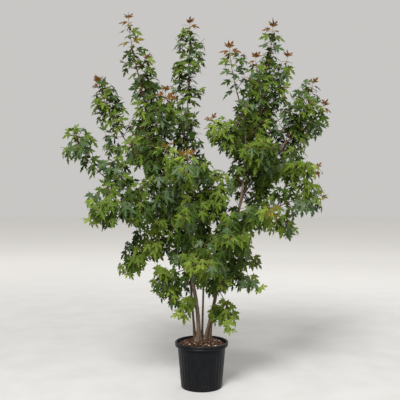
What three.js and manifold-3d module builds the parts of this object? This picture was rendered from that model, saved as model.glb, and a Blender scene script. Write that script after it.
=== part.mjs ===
// A multi-stemmed maple in a nursery pot, as separate solids: the pot, its soil, five stems, the boughs
// that fork from them, and the leafy shoots that stems and boughs carry.
// Units are millimetres and +Z is up. The origin is the centre of the pot's underside, and -Y is the front.
import * as THREE from "three";
import { mergeVertices } from "three/addons/utils/BufferGeometryUtils.js";
import Module from "manifold-3d";

const wasm = await Module();
wasm.setup();

// Driving dimensions

const GAP = 0.3; // clear space between two pieces that meet
const SIMPLIFY = 0.005; // how far a fused face may move where needless edges are taken out
const SAME_POINT = 1e-3; // points nearer than this are one point

const POT = {
  height: 302,
  footRadius: 136,
  footRound: 6,
  shoulderRadius: 160,
  rimRadius: 178,
  rimHeight: 30,
  rimSection: [[10, 2], [1, 8], [0, 26], [3, 30], [9, 30]], // in from the widest, up from the rim's foot
  wall: 3.5,
  sides: 28,
};

const SOIL = { belowRim: 17, mound: 24, plateauRadius: 80 };

const STEM_SIDES = 7;
const STEM_STEPS = 9;
const BOUGH_SIDES = 5;
const BOUGH_STEPS = 4;
const FLARE = { share: 0.07, swell: 0.3 }; // root flare: the share of a stem it takes up, and what it adds
const FOOT_ALLOWANCE = 20; // a stem starts this far below ground level, and is cut off flat there

// Stems: foot at ground level, the points a third and two thirds of the way up, the tip, and the radius at
// foot and tip.
const STEMS = {
  stem_left: {
    foot: [-43, 32],
    third: [-78, 50, 787],
    twoThirds: [-93, 95, 1289],
    tip: [-96, 130, 1792],
    radius: [8, 4.5],
  },
  stem_main: {
    foot: [-21, -8],
    third: [-86, -20, 810],
    twoThirds: [-242, -10, 1321],
    tip: [-367, -40, 1822],
    radius: [14, 6],
  },
  stem_centre: {
    foot: [4, 52],
    third: [12, 30, 637],
    twoThirds: [5, -40, 977],
    tip: [-55, -190, 1292],
    radius: [7.5, 4],
  },
  stem_right_inner: {
    foot: [24, 10],
    third: [156, -10, 822],
    twoThirds: [272, -45, 1340],
    tip: [256, -90, 1841],
    radius: [9, 4.5],
  },
  stem_right: {
    foot: [50, 36],
    third: [152, 36, 831],
    twoThirds: [304, 60, 1361],
    tip: [414, 105, 1912],
    radius: [12, 5.5],
  },
};

// Boughs: the stem each leaves and how far up it, the tip, how steeply the tip rises, and the end radii.
const BOUGHS = {
  bough_far_left: { from: "stem_main", at: 0.58, tip: [-600, -70, 1365], rise: 0.3, radius: [6, 3.8] },
  bough_left: { from: "stem_main", at: 0.74, tip: [-564, 150, 1718], rise: 0.8, radius: [6, 3.8] },
  bough_pendant_left: { from: "stem_main", at: 0.47, tip: [-445, -170, 1222], rise: -0.1, radius: [6, 3.8] },
  bough_right: { from: "stem_right", at: 0.6, tip: [587, 120, 1673], rise: 0.9, radius: [6, 3.8] },
  bough_low_right: { from: "stem_right", at: 0.46, tip: [544, -40, 1215], rise: 0, radius: [6, 3.8] },
  bough_back_left: { from: "stem_left", at: 0.5, tip: [-300, 260, 1480], rise: 0.7, radius: [5.5, 3.6] },
  bough_back_right: { from: "stem_right", at: 0.42, tip: [420, 280, 1300], rise: 0.5, radius: [6, 3.8] },
  bough_back: { from: "stem_left", at: 0.62, tip: [-60, 270, 1540], rise: 0.8, radius: [5.5, 3.6] },
};

// Leafy shoots: the limb each leaves and how far along it, the tip of the last leaf, how steeply the tip
// rises or hangs, and how far the foliage spreads from the shoot's own line.
const SHOOTS = {
  crown_left_top: { from: "stem_main", at: 1, tip: [-472, -150, 2447], rise: 2, spread: 160 },
  crown_left_side: { from: "stem_main", at: 0.93, tip: [-373, 180, 2267], rise: 2, spread: 130 },
  crown_left_fork: { from: "stem_main", at: 0.86, tip: [-226, -170, 1975], rise: 1.5, spread: 155 },
  mid_left_front: { from: "stem_main", at: 0.7, tip: [-480, -215, 1640], rise: 0.2, spread: 170 },
  mid_left_inner: { from: "stem_main", at: 0.66, tip: [-220, -210, 1620], rise: 0.8, spread: 170 },
  mid_left_heart: { from: "stem_main", at: 0.53, tip: [-345, -240, 1400], rise: 0, spread: 170 },
  low_left_outer: { from: "stem_main", at: 0.42, tip: [-535, -20, 765], rise: -0.9, spread: 160 },
  low_left_skirt: { from: "stem_main", at: 0.24, tip: [-300, -130, 610], rise: -0.6, spread: 150 },
  left_high_tip: { from: "bough_left", at: 1, tip: [-726, 210, 2111], rise: 1.6, spread: 145 },
  left_high_low: { from: "bough_left", at: 0.6, tip: [-682, 230, 1607], rise: 0.1, spread: 150 },
  far_left_tip: { from: "bough_far_left", at: 1, tip: [-855, -90, 1735], rise: 0.8, spread: 150 },
  far_left_up: { from: "bough_far_left", at: 0.6, tip: [-629, 120, 1549], rise: 0.6, spread: 140 },
  pendant_left_tip: { from: "bough_pendant_left", at: 1, tip: [-725, -260, 1085], rise: -0.5, spread: 170 },
  pendant_left_mid: { from: "bough_pendant_left", at: 0.6, tip: [-450, -290, 1090], rise: -0.6, spread: 160 },
  left_inner_low: { from: "stem_left", at: 0.46, tip: [-238, 210, 1106], rise: -0.4, spread: 170 },
  low_left_back: { from: "stem_left", at: 0.34, tip: [-260, 330, 880], rise: -0.3, spread: 190 },
  low_left_hang: { from: "stem_left", at: 0.2, tip: [-150, -130, 460], rise: -1.2, spread: 145 },
  centre_top: { from: "stem_left", at: 1, tip: [-80, 150, 2506], rise: 2, spread: 150 },
  centre_high: { from: "stem_left", at: 0.8, tip: [-142, 260, 1913], rise: 1.2, spread: 150 },
  front_leader: { from: "stem_centre", at: 1, tip: [-90, -440, 1550], rise: 0.9, spread: 180 },
  front_hang: { from: "stem_centre", at: 0.84, tip: [-125, -480, 1120], rise: -0.6, spread: 175 },
  front_low: { from: "stem_centre", at: 0.55, tip: [0, -430, 800], rise: -0.7, spread: 190 },
  front_skirt: { from: "stem_centre", at: 0.4, tip: [150, -270, 690], rise: -0.6, spread: 180 },
  centre_inner: { from: "stem_centre", at: 0.75, tip: [165, -250, 1320], rise: 0.2, spread: 165 },
  right_inner_leader: { from: "stem_right_inner", at: 1, tip: [173, -200, 2248], rise: 2, spread: 145 },
  right_inner_side: { from: "stem_right_inner", at: 0.8, tip: [105, -140, 1770], rise: 0.6, spread: 130 },
  front_right_tip: { from: "stem_right_inner", at: 0.46, tip: [430, -480, 1180], rise: -0.2, spread: 170 },
  front_right_low: { from: "stem_right_inner", at: 0.37, tip: [165, -460, 1010], rise: -0.4, spread: 170 },
  low_right_hang: { from: "stem_right_inner", at: 0.17, tip: [185, -150, 370], rise: -1.2, spread: 150 },
  right_top: { from: "stem_right", at: 1, tip: [495, 150, 2479], rise: 2, spread: 155 },
  right_top_left: { from: "stem_right", at: 0.92, tip: [353, -80, 2215], rise: 2, spread: 130 },
  right_top_right: { from: "stem_right", at: 0.95, tip: [621, 290, 2306], rise: 1.5, spread: 130 },
  right_core: { from: "stem_right", at: 0.74, tip: [379, 260, 2074], rise: 1.5, spread: 165 },
  right_front: { from: "stem_right", at: 0.66, tip: [400, -260, 1640], rise: 0.6, spread: 170 },
  low_right_small: { from: "stem_right", at: 0.34, tip: [391, 230, 782], rise: -0.4, spread: 150 },
  low_right_skirt: { from: "stem_right", at: 0.26, tip: [400, -110, 640], rise: -0.7, spread: 150 },
  far_right_top: { from: "bough_right", at: 1, tip: [780, 160, 2093], rise: 1.4, spread: 150 },
  far_right_side: { from: "bough_right", at: 0.86, tip: [879, 210, 1943], rise: 1, spread: 130 },
  far_right_low: { from: "bough_right", at: 0.6, tip: [694, 270, 1834], rise: 1.2, spread: 160 },
  mid_right_tip: { from: "bough_right", at: 0.35, tip: [790, -110, 1440], rise: -0.2, spread: 170 },
  low_right_tip: { from: "bough_low_right", at: 1, tip: [822, -60, 1290], rise: 0.2, spread: 155 },
  low_right_under: { from: "bough_low_right", at: 0.7, tip: [622, 170, 970], rise: -0.8, spread: 155 },
  back_left_tip: { from: "bough_back_left", at: 1, tip: [-450, 510, 1800], rise: 1.2, spread: 200 },
  back_right_tip: { from: "bough_back_right", at: 1, tip: [590, 520, 1640], rise: 0.9, spread: 200 },
  back_tip: { from: "bough_back", at: 1, tip: [-90, 510, 1900], rise: 1.4, spread: 190 },
};

const TWIG = {
  sides: 3,
  rootRadius: 3.6,
  tipRadius: 1.8,
  sideRadius: 2.2,
  steps: 4,
  leafyFrom: 0.16, // share of the shoot that is bare at its root
  nodeSpacing: 60, // along the shoot, between one pair of buds and the next
  fewestPairs: 3,
  sideFirst: 2, // this pair from the tip bears side twigs, as does every so many below it
  sideEvery: 6,
  sideLength: [0.35, 0.7], // of the spread
  sideLeavesAt: 0.75, // share of a side twig at which it bears its pair of leaves
  lastLeafAt: 0.97, // share of any twig at which it bears its last leaf
  lastPairAt: 0.95,
  wayBlend: 0.35, // how far a side shoot first follows its carrier's own way
};

// A leaf: three lobes, and a ridge down the middle. Shares are of the leaf's length from root to apex.
const LEAF = {
  length: 260,
  tipLength: 100, // of the last leaf
  lobe: [0.38, 0.46], // forward, and sideways
  notch: [0.6, 0.2],
  ridge: [0.3, 0.024], // forward, and up
  lobeDrop: 0.07, // how far lobes and notches hang below the root
  apexDrop: 0.12,
  rootShare: 0.1, // share of the leaf beside its twig, where it may meet other leaves
  shrinkToTip: 0.45,
  tries: 18, // settings tried for one leaf, each smaller than the last, until it fits its space
  tryScale: 0.955,
  forward: 0.55, // how far a leaf leans along its twig
  droop: [0.1, 1.2], // how far it hangs
  light: { front: 0.55, outward: 0.35 }, // how far its face turns from up to the front and outwards
  roll: 0.8, // how far it turns about its own rib, in radians, to either side
  limbClearance: 2.5,
  spaceMargin: 0.02,
};

const LOOKS = {
  pot: { color: 0x1c1e20, roughness: 0.55, metalness: 0 },
  soil: { color: 0x4a2f22, roughness: 0.95, metalness: 0 },
  bark: { color: 0x5d5047, roughness: 0.85, metalness: 0 },
  foliage: { color: 0x3c6b2a, roughness: 0.6, metalness: 0 },
};

const UP = new THREE.Vector3(0, 0, 1);
const FRONT = new THREE.Vector3(0, -1, 0);
const vector = (xyz) => new THREE.Vector3(...xyz);

// Solids

/** A closed three.js geometry as a manifold solid. */
function solidOf(geometry) {
  const bare = geometry.clone();
  bare.deleteAttribute("normal");
  bare.deleteAttribute("uv");
  const merged = mergeVertices(bare, SAME_POINT);
  return new wasm.Manifold(
    new wasm.Mesh({
      numProp: 3,
      vertProperties: new Float32Array(merged.attributes.position.array),
      triVerts: new Uint32Array(merged.index.array),
    }),
  );
}

/** A manifold solid as a three.js geometry. */
function geometryOf(solid) {
  const mesh = solid.getMesh();
  return new THREE.BufferGeometry()
    .setAttribute("position", new THREE.BufferAttribute(new Float32Array(mesh.vertProperties), 3))
    .setIndex(new THREE.BufferAttribute(new Uint32Array(mesh.triVerts), 1));
}

/** The largest body of a solid, without loose scraps, and with any sealed hollow filled. */
function largestBody(solid) {
  const bodies = solid.decompose();
  return bodies.reduce((best, body) => (body.volume() > best.volume() ? body : best));
}

/** A solid of revolution about +Z from [radius, height] pairs that start and end on the axis. */
function turned(profile, sides) {
  const points = profile.map(([radius, height]) => new THREE.Vector2(radius, height));
  return new THREE.LatheGeometry(points, sides).rotateX(Math.PI / 2);
}

// Pot and soil

const rimFoot = POT.height - POT.rimHeight;

/** The radius of the pot's inner wall at a height below the rim. */
function innerRadius(height) {
  return THREE.MathUtils.lerp(POT.footRadius, POT.shoulderRadius, height / rimFoot) - POT.wall;
}

/** The pot: a tapering wall under a thick rolled rim that stands out from it. */
function potGeometry() {
  const { footRadius, footRound, shoulderRadius, rimRadius, rimSection, wall } = POT;
  return turned(
    [
      [0, 0],
      [footRadius - footRound, 0],
      [footRadius, footRound],
      [shoulderRadius, rimFoot],
      ...rimSection.map(([inward, up]) => [rimRadius - inward, rimFoot + up]),
      [innerRadius(rimFoot), rimFoot],
      [innerRadius(wall), wall],
      [0, wall],
    ],
    POT.sides,
  );
}

const soilEdge = POT.height - SOIL.belowRim;
const soilTop = soilEdge + SOIL.mound;

/** The soil: it fills the pot to below the rim, and is mounded to a flat top that the stems stand on. */
function soilGeometry() {
  const floor = POT.wall + GAP;
  return turned(
    [
      [0, floor],
      [innerRadius(floor) - GAP, floor],
      [innerRadius(rimFoot) - GAP, rimFoot],
      [innerRadius(rimFoot) - GAP, soilEdge],
      [SOIL.plateauRadius, soilTop],
      [0, soilTop],
    ],
    POT.sides,
  );
}

// Limbs

/** The cubic curve through four points, at its start, a third, two thirds and its end. */
function curveThrough(start, third, twoThirds, end) {
  const control = (a, b, c, d) => {
    const near = start.clone().multiplyScalar(a).addScaledVector(third, b);
    return near.addScaledVector(twoThirds, c).addScaledVector(end, d);
  };
  return new THREE.CubicBezierCurve3(
    start,
    control(-5 / 6, 3, -3 / 2, 1 / 3),
    control(1 / 3, -3 / 2, 3, -5 / 6),
    end,
  );
}

/** A limb's radius at a share of its length, with the root flare of a stem. */
function radiusAt(limb, share) {
  const [root, tip] = limb.radius;
  const flare = limb.foot ? Math.max(0, 1 - share / FLARE.share) ** 2 * FLARE.swell : 0;
  return THREE.MathUtils.lerp(root, tip, share) + root * flare;
}

/** A closed cylinder bent along a curve, with a radius that is a function of the share of its length. */
function bentAlong(curve, radius, sides, steps) {
  const geometry = new THREE.CylinderGeometry(1, 1, 1, sides, steps);
  const { normals, binormals } = curve.computeFrenetFrames(steps, false);
  const position = geometry.attributes.position;
  for (let i = 0; i < position.count; i++) {
    const share = position.getY(i) + 0.5;
    const step = Math.round(share * steps);
    const point = curve
      .getPointAt(share)
      .addScaledVector(normals[step], position.getZ(i) * radius(share))
      .addScaledVector(binormals[step], position.getX(i) * radius(share));
    position.setXYZ(i, point.x, point.y, point.z);
  }
  return geometry;
}

/** A limb's solid, made thicker all round by an allowance. */
function limbSolid(limb, allowance = 0) {
  const swell = allowance / Math.cos(Math.PI / limb.sides);
  return solidOf(bentAlong(limb.curve, (share) => radiusAt(limb, share) + swell, limb.sides, limb.steps));
}

/** The curve of a bough or shoot: it starts on its carrier, and ends at a rise set by its own row. */
function branchCurve(row, carrier, reach) {
  const tip = vector(row.tip);
  const way = carrier.curve.getTangentAt(row.at);
  const onTip = row.at === 1;
  const start = carrier.curve.getPointAt(row.at).addScaledVector(way, onTip ? GAP : 0);
  const chord = tip.clone().sub(start);
  const third = chord.length() / 3;
  const out = chord.clone().normalize();
  const leave = onTip ? way : out.clone().lerp(way, TWIG.wayBlend).normalize();
  const arrive = out.clone().addScaledVector(UP, row.rise).normalize();
  const end = tip.addScaledVector(arrive, -reach);
  return new THREE.CubicBezierCurve3(
    start,
    start.clone().addScaledVector(leave, third),
    end.clone().addScaledVector(arrive, -third),
    end,
  );
}

const limbs = {};
for (const [name, row] of Object.entries(STEMS)) {
  const ground = soilTop + GAP;
  const foot = vector([...row.foot, ground - FOOT_ALLOWANCE]);
  const curve = curveThrough(foot, vector(row.third), vector(row.twoThirds), vector(row.tip));
  limbs[name] = { ...row, name, curve, sides: STEM_SIDES, steps: STEM_STEPS };
  limbs[name].solid = limbSolid(limbs[name]).trimByPlane(UP.toArray(), ground);
}
for (const [name, row] of Object.entries(BOUGHS)) {
  const carrier = limbs[row.from];
  limbs[name] = { ...row, name, curve: branchCurve(row, carrier, 0), sides: BOUGH_SIDES, steps: BOUGH_STEPS };
  limbs[name].solid = largestBody(limbSolid(limbs[name]).subtract(limbSolid(carrier, GAP)));
}
const thickLimbs = Object.values(limbs).map((limb) => limbSolid(limb, LEAF.limbClearance));
const limbObstacle = wasm.Manifold.union(thickLimbs);

// Leafy shoots

/** Numbers from 0 to 1 that are the same at each run for the same name. */
function seededRandom(name) {
  let state = [...name].reduce((sum, letter) => (sum * 31 + letter.charCodeAt(0)) >>> 0, 7);
  return () => {
    state = (state + 0x6d2b79f5) >>> 0;
    let mixed = Math.imul(state ^ (state >>> 15), state | 1);
    mixed ^= mixed + Math.imul(mixed ^ (mixed >>> 7), mixed | 61);
    return ((mixed ^ (mixed >>> 14)) >>> 0) / 4294967296;
  };
}

const shoots = Object.entries(SHOOTS).map(([name, row]) => {
  const carrier = limbs[row.from];
  const rootRadius = row.at === 1 ? carrier.radius[1] : TWIG.rootRadius;
  return {
    ...row,
    name,
    carrier,
    curve: branchCurve(row, carrier, LEAF.tipLength),
    radius: [rootRadius, TWIG.tipRadius],
    sides: TWIG.sides,
    steps: TWIG.steps,
  };
});
for (const shoot of shoots) shoot.line = shoot.curve.getSpacedPoints(shoot.steps);

/** The point at a share of the way along a shoot's line. */
function pointOnLine(shoot, share) {
  const along = share * shoot.steps;
  const step = Math.min(Math.floor(along), shoot.steps - 1);
  return shoot.line[step].clone().lerp(shoot.line[step + 1], along - step);
}

/** The distance from a point to a shoot's line, as a share of the shoot's spread. */
function spreadShare(point, shoot) {
  const segment = new THREE.Line3();
  const nearest = new THREE.Vector3();
  let least = Infinity;
  for (let i = 1; i < shoot.line.length; i++) {
    segment.set(shoot.line[i - 1], shoot.line[i]).closestPointToPoint(point, true, nearest);
    least = Math.min(least, nearest.distanceTo(point));
  }
  return least / shoot.spread;
}

/** Whether all points lie in the shoot's own space: within its spread, and nearer to it than to any other. */
function keepsToSpace(points, shoot) {
  return points.every((point) => {
    const own = spreadShare(point, shoot);
    if (own > 1) return false;
    return shoots.every((other) => other === shoot || spreadShare(point, other) > own + LEAF.spaceMargin);
  });
}

/** The points of a leaf: its root, then round its outline by way of the apex, and its ridge last. */
function leafPoints(root, along, roll, length) {
  const out = new THREE.Vector3(root.x, root.y, 0).normalize();
  const lit = UP.clone().addScaledVector(FRONT, LEAF.light.front).addScaledVector(out, LEAF.light.outward);
  const face = lit.addScaledVector(along, -lit.dot(along)).normalize().applyAxisAngle(along, roll);
  const across = new THREE.Vector3().crossVectors(face, along);
  const place = (forward, side, lift) =>
    root
      .clone()
      .addScaledVector(along, forward * length)
      .addScaledVector(across, side * length)
      .addScaledVector(face, lift * length);
  const [lobeForward, lobeSide] = LEAF.lobe;
  const [notchForward, notchSide] = LEAF.notch;
  const [ridgeForward, ridgeLift] = LEAF.ridge;
  return [
    root,
    place(lobeForward, lobeSide, -LEAF.lobeDrop),
    place(notchForward, notchSide, -LEAF.lobeDrop),
    place(1, 0, -LEAF.apexDrop),
    place(notchForward, -notchSide, -LEAF.lobeDrop),
    place(lobeForward, -lobeSide, -LEAF.lobeDrop),
    place(ridgeForward, 0, ridgeLift),
  ];
}

/** The solid of a leaf: faces that rise from its outline to the ridge, and faces that cross underneath. */
function leafSolid(points) {
  const ridge = points.length - 1;
  const apex = ridge / 2;
  const index = [];
  for (let i = 0; i < ridge; i++) index.push((i + 1) % ridge, i, ridge);
  for (let i = 0; i < apex; i++) {
    const opposite = (ridge - i) % ridge;
    if (i > 0) index.push(i, i + 1, opposite);
    if (i < apex - 1) index.push(i + 1, ridge - i - 1, opposite);
  }
  return solidOf(new THREE.BufferGeometry().setFromPoints(points).setIndex(index));
}

/** A leafy shoot: opposite pairs of side twigs and leaves, each pair turned square to the last. */
function growShoot(shoot) {
  const random = seededRandom(shoot.name);
  const between = (low, high) => THREE.MathUtils.lerp(low, high, random());
  const grown = [limbSolid(shoot)];
  const blades = [];

  const fits = (points) => {
    if (!keepsToSpace(points.slice(1), shoot)) return false;
    const blade = leafSolid([points[0].clone().lerp(points[3], LEAF.rootShare), ...points.slice(1)]);
    const clear = (other) => blade.intersect(other).isEmpty();
    if (!clear(limbObstacle) || !blades.every(clear)) return false;
    blades.push(blade);
    return true;
  };

  const addLeaf = (root, along, share) => {
    let length = LEAF.length * (1 - LEAF.shrinkToTip * share);
    for (let attempt = 0; attempt < LEAF.tries; attempt++) {
      const hang = along.clone().addScaledVector(UP, -between(...LEAF.droop)).normalize();
      const points = leafPoints(root, hang, between(-LEAF.roll, LEAF.roll), length);
      if (fits(points)) {
        grown.push(leafSolid(points));
        return;
      }
      length *= LEAF.tryScale;
    }
  };

  const addSideTwig = (root, along, share) => {
    const end = root.clone().addScaledVector(along, between(...TWIG.sideLength) * shoot.spread);
    const twig = solidOf(bentAlong(new THREE.LineCurve3(root, end), () => TWIG.sideRadius, TWIG.sides, 1));
    if (!keepsToSpace([end], shoot) || !twig.intersect(limbObstacle).isEmpty()) return;
    if (!blades.every((blade) => blade.intersect(twig).isEmpty())) return;
    grown.push(twig);
    const across = new THREE.Vector3().crossVectors(UP, along).normalize();
    for (const side of [0, -1, 1]) {
      const leafWay = along.clone().addScaledVector(across, side);
      addLeaf(root.clone().lerp(end, side ? TWIG.sideLeavesAt : TWIG.lastLeafAt), leafWay, share);
    }
  };

  const lastBud = pointOnLine(shoot, TWIG.lastLeafAt);
  const lastLeaf = leafPoints(lastBud, shoot.curve.getTangentAt(1), 0, LEAF.tipLength);
  if (fits(lastLeaf)) grown.push(leafSolid(lastLeaf));
  const leafyLength = shoot.curve.getLength() * (1 - TWIG.leafyFrom);
  const pairs = Math.max(TWIG.fewestPairs, Math.round(leafyLength / TWIG.nodeSpacing));
  const firstTurn = random() * Math.PI;
  for (let pair = 0; pair < pairs; pair++) {
    const share = THREE.MathUtils.lerp(TWIG.lastPairAt, TWIG.leafyFrom, pair / (pairs - 1));
    const root = pointOnLine(shoot, share);
    const way = shoot.curve.getTangentAt(share);
    const level = new THREE.Vector3(way.y, -way.x, 0).normalize();
    const turn = firstTurn + (pair * Math.PI) / 2;
    for (const half of [0, Math.PI]) {
      const out = level.clone().applyAxisAngle(way, turn + half);
      const along = out.addScaledVector(way, LEAF.forward).normalize();
      if (pair % TWIG.sideEvery === TWIG.sideFirst) addSideTwig(root, along, share);
      else addLeaf(root, along, share);
    }
  }

  let fused = wasm.Manifold.union(grown);
  if (shoot.at < 1) fused = fused.subtract(limbSolid(shoot.carrier, GAP));
  return largestBody(fused.simplify(SIMPLIFY));
}

// The plant

const plant = new THREE.Group();
plant.name = "potted_maple";

/** Adds one named mesh to the plant. */
function addMesh(name, geometry, look) {
  const mesh = new THREE.Mesh(geometry, new THREE.MeshStandardMaterial(LOOKS[look]));
  mesh.name = name;
  plant.add(mesh);
}

addMesh("pot", potGeometry(), "pot");
addMesh("soil", soilGeometry(), "soil");
for (const limb of Object.values(limbs)) addMesh(limb.name, geometryOf(limb.solid), "bark");
for (const shoot of shoots) addMesh(`foliage_${shoot.name}`, geometryOf(growShoot(shoot)), "foliage");

export default plant;
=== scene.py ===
"""The looks of a multi-stemmed maple in a nursery pot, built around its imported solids.

Pot, soil and limbs are modelled anew with their relief. Twigs and leaves grow on from the limbs by the rule
that shapes the solids, carried to finer twigs. Units are metres, +Z is up and -Y is the front.
"""

import logging
import math
import random
from dataclasses import dataclass, field
from enum import Enum
from typing import Any, Sequence

import bmesh
import bpy
import numpy as np
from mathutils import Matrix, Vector, noise


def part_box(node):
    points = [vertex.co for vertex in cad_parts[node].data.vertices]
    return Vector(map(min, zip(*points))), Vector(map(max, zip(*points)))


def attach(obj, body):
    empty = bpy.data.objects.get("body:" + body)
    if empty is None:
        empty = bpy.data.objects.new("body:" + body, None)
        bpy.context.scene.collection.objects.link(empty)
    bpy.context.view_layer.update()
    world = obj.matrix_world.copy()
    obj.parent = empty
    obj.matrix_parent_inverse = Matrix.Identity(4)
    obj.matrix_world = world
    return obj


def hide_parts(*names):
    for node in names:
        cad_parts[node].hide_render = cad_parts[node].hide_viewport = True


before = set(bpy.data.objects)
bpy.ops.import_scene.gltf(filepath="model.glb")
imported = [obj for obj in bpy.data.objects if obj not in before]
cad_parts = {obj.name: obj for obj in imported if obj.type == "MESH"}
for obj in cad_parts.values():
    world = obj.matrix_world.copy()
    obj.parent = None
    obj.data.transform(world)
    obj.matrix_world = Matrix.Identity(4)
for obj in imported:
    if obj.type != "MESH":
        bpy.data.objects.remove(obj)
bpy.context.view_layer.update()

log = logging.getLogger("maple")

Array = np.ndarray
Triple = tuple[float, float, float]
Pair = tuple[float, float]
Layers = tuple[Any, Any, Any]

BODY = "root"
RIGHT = np.array((1.0, 0.0, 0.0))
FRONT = np.array((0.0, -1.0, 0.0))
UP = np.array((0.0, 0.0, 1.0))
FULL_TURN = 2 * math.pi
QUARTER_TURN = math.pi / 2
SAME_POINT = 1e-6
NEARLY_ALONG = 0.9  # the share of a direction that points to the front or back


class Tint(Enum):
    """Leaf colours, from the old leaves inside the crown to the young ones at its tips. DEEP is darkened
    partly as painted shade, and COOL's blue-grey is partly a painted sky reflection.
    """

    # Dark green of old leaves, darkened further as painted shade for the crown's inside
    DEEP = "deep"
    # Green leaves whose blue-grey colour is partly a painted sky reflection
    COOL = "cool"
    MID = "mid"
    FRESH = "fresh"
    LIME = "lime"
    GOLD = "gold"
    BRONZE = "bronze"


class Tip(Enum):
    """The colours of a shoot's young leaves, pair by pair from its tip."""

    BRONZE = (Tint.BRONZE, Tint.BRONZE, Tint.BRONZE, Tint.GOLD, Tint.MID)
    GOLD = (Tint.BRONZE, Tint.GOLD, Tint.LIME, Tint.FRESH)
    LIME = (Tint.LIME, Tint.LIME, Tint.LIME, Tint.FRESH, Tint.FRESH)
    GREEN = (Tint.FRESH, Tint.MID, Tint.MID)


# How often each colour falls to a spray of grown leaves, deep in the crown and towards a shoot's tip. Deep
# in the crown the dark tints come more often, partly as painted shade.
INNER_SHADED_TINTS = {Tint.DEEP: 43, Tint.COOL: 16, Tint.MID: 35, Tint.FRESH: 6}
OUTER_TINTS = {
    Tip.BRONZE: {Tint.DEEP: 28, Tint.COOL: 32, Tint.MID: 33, Tint.GOLD: 7},
    Tip.GOLD: {Tint.DEEP: 20, Tint.COOL: 15, Tint.MID: 42, Tint.FRESH: 20, Tint.LIME: 3},
    Tip.LIME: {Tint.DEEP: 14, Tint.COOL: 5, Tint.MID: 40, Tint.FRESH: 32, Tint.LIME: 9},
    Tip.GREEN: {Tint.DEEP: 30, Tint.COOL: 22, Tint.MID: 43, Tint.FRESH: 5},
}


def unit(vector: Array) -> Array:
    """A vector, or each row of vectors, at length one."""
    return vector / np.linalg.norm(vector, axis=-1, keepdims=True)


def turned(vector: Array, axis: Array, angle: float) -> Array:
    """A vector turned about a unit axis.

    Args:
        vector: what is turned.
        axis: the unit axis.
        angle: in radians.

    Returns:
        The turned vector.
    """
    along = axis * (axis @ vector)
    return along + (vector - along) * math.cos(angle) + np.cross(axis, vector) * math.sin(angle)


def bezier(controls: Array, parameters: Array) -> Array:
    """The points of a cubic curve with four control points, at its own parameters."""
    t = np.atleast_1d(parameters)[:, None]
    s = 1 - t
    return np.hstack((s**3, 3 * s * s * t, 3 * s * t * t, t**3)) @ controls


class Curve:
    """A cubic curve in space, read by the share of its length."""

    STEPS = 200

    def __init__(self, *controls: Array) -> None:
        """Keeps the four control points, and measures the curve."""
        self.controls = np.array(controls, float)
        self._parameters = np.linspace(0, 1, self.STEPS + 1)
        steps = np.linalg.norm(np.diff(bezier(self.controls, self._parameters), axis=0), axis=1)
        self._travelled = np.concatenate(((0.0,), np.cumsum(steps)))
        self.length = float(self._travelled[-1])

    @classmethod
    def through(cls, start: Array, third: Array, two_thirds: Array, end: Array) -> "Curve":
        """The curve through four points, at its start, a third, two thirds and its end."""
        first = (-5 * start + 18 * third - 9 * two_thirds + 2 * end) / 6
        second = (2 * start - 9 * third + 18 * two_thirds - 5 * end) / 6
        return cls(start, first, second, end)

    def points(self, shares: Array) -> Array:
        """The points at shares of the curve's length."""
        travelled = np.asarray(shares) * self.length
        return bezier(self.controls, np.interp(travelled, self._travelled, self._parameters))

    def point(self, share: float) -> Array:
        """The point at one share of the length."""
        return self.points([share])[0]

    def way(self, share: float) -> Array:
        """The unit direction of the curve at one share of its length."""
        half_step = 0.5 / self.STEPS
        ends = self.points([max(share - half_step, 0), min(share + half_step, 1)])
        return unit(ends[1] - ends[0])


def frames_along(path: Array) -> tuple[Array, Array]:
    """Two unit vectors square to a path at each of its points, with no twist from point to point.

    Args:
        path: rows of points.

    Returns:
        The first and the second vector of each point.
    """
    ways = unit(np.gradient(path, axis=0))
    firsts = np.empty_like(path)
    previous = -FRONT if abs(ways[0] @ FRONT) < NEARLY_ALONG else RIGHT
    for step, way in enumerate(ways):
        previous = unit(previous - way * (previous @ way))
        firsts[step] = previous
    return firsts, np.cross(ways, firsts)


def publish(piece: bpy.types.Object, nodes: Sequence[str] = ()) -> None:
    """Puts a finished piece on the plant's body, and logs it.

    Args:
        piece: the piece, with its material.
        nodes: the solids that the piece stands for.
    """
    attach(piece, BODY)
    if nodes:
        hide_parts(*nodes)
    log.info("%s: %d faces, stands for %d solids", piece.name, len(piece.data.polygons), len(nodes))


def link(name: str, mesh: bpy.types.Mesh, material: bpy.types.Material) -> bpy.types.Object:
    """A new object in the scene that shows a mesh in one material."""
    mesh.materials.append(material)
    piece = bpy.data.objects.new(name, mesh)
    bpy.context.scene.collection.objects.link(piece)
    return piece


def finished(shape: bmesh.types.BMesh, name: str, crease: float) -> bpy.types.Mesh:
    """A closed bmesh as a mesh with outward faces, smooth but for edges sharper than a crease angle."""
    bmesh.ops.remove_doubles(shape, verts=shape.verts, dist=SAME_POINT)
    bmesh.ops.recalc_face_normals(shape, faces=shape.faces)
    mesh = bpy.data.meshes.new(name)
    shape.to_mesh(mesh)
    shape.free()
    mesh.shade_smooth()
    mesh.set_sharp_from_angle(angle=crease)
    return mesh


def spun(profile: Sequence[Pair], steps: int) -> bmesh.types.BMesh:
    """A profile of (radius, height) pairs spun about the Z axis.

    Args:
        profile: the pairs in order, starting and ending on the axis.
        steps: how many columns of faces go round.

    Returns:
        The closed shape.
    """
    shape = bmesh.new()
    verts = [shape.verts.new((radius, 0, height)) for radius, height in profile]
    edges = [shape.edges.new(ends) for ends in zip(verts, verts[1:])]
    bmesh.ops.spin(
        shape,
        geom=verts + edges,
        cent=(0, 0, 0),
        axis=(0, 0, 1),
        angle=FULL_TURN,
        steps=steps,
        use_merge=True,
    )
    bmesh.ops.remove_doubles(shape, verts=shape.verts, dist=SAME_POINT)
    return shape


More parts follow.
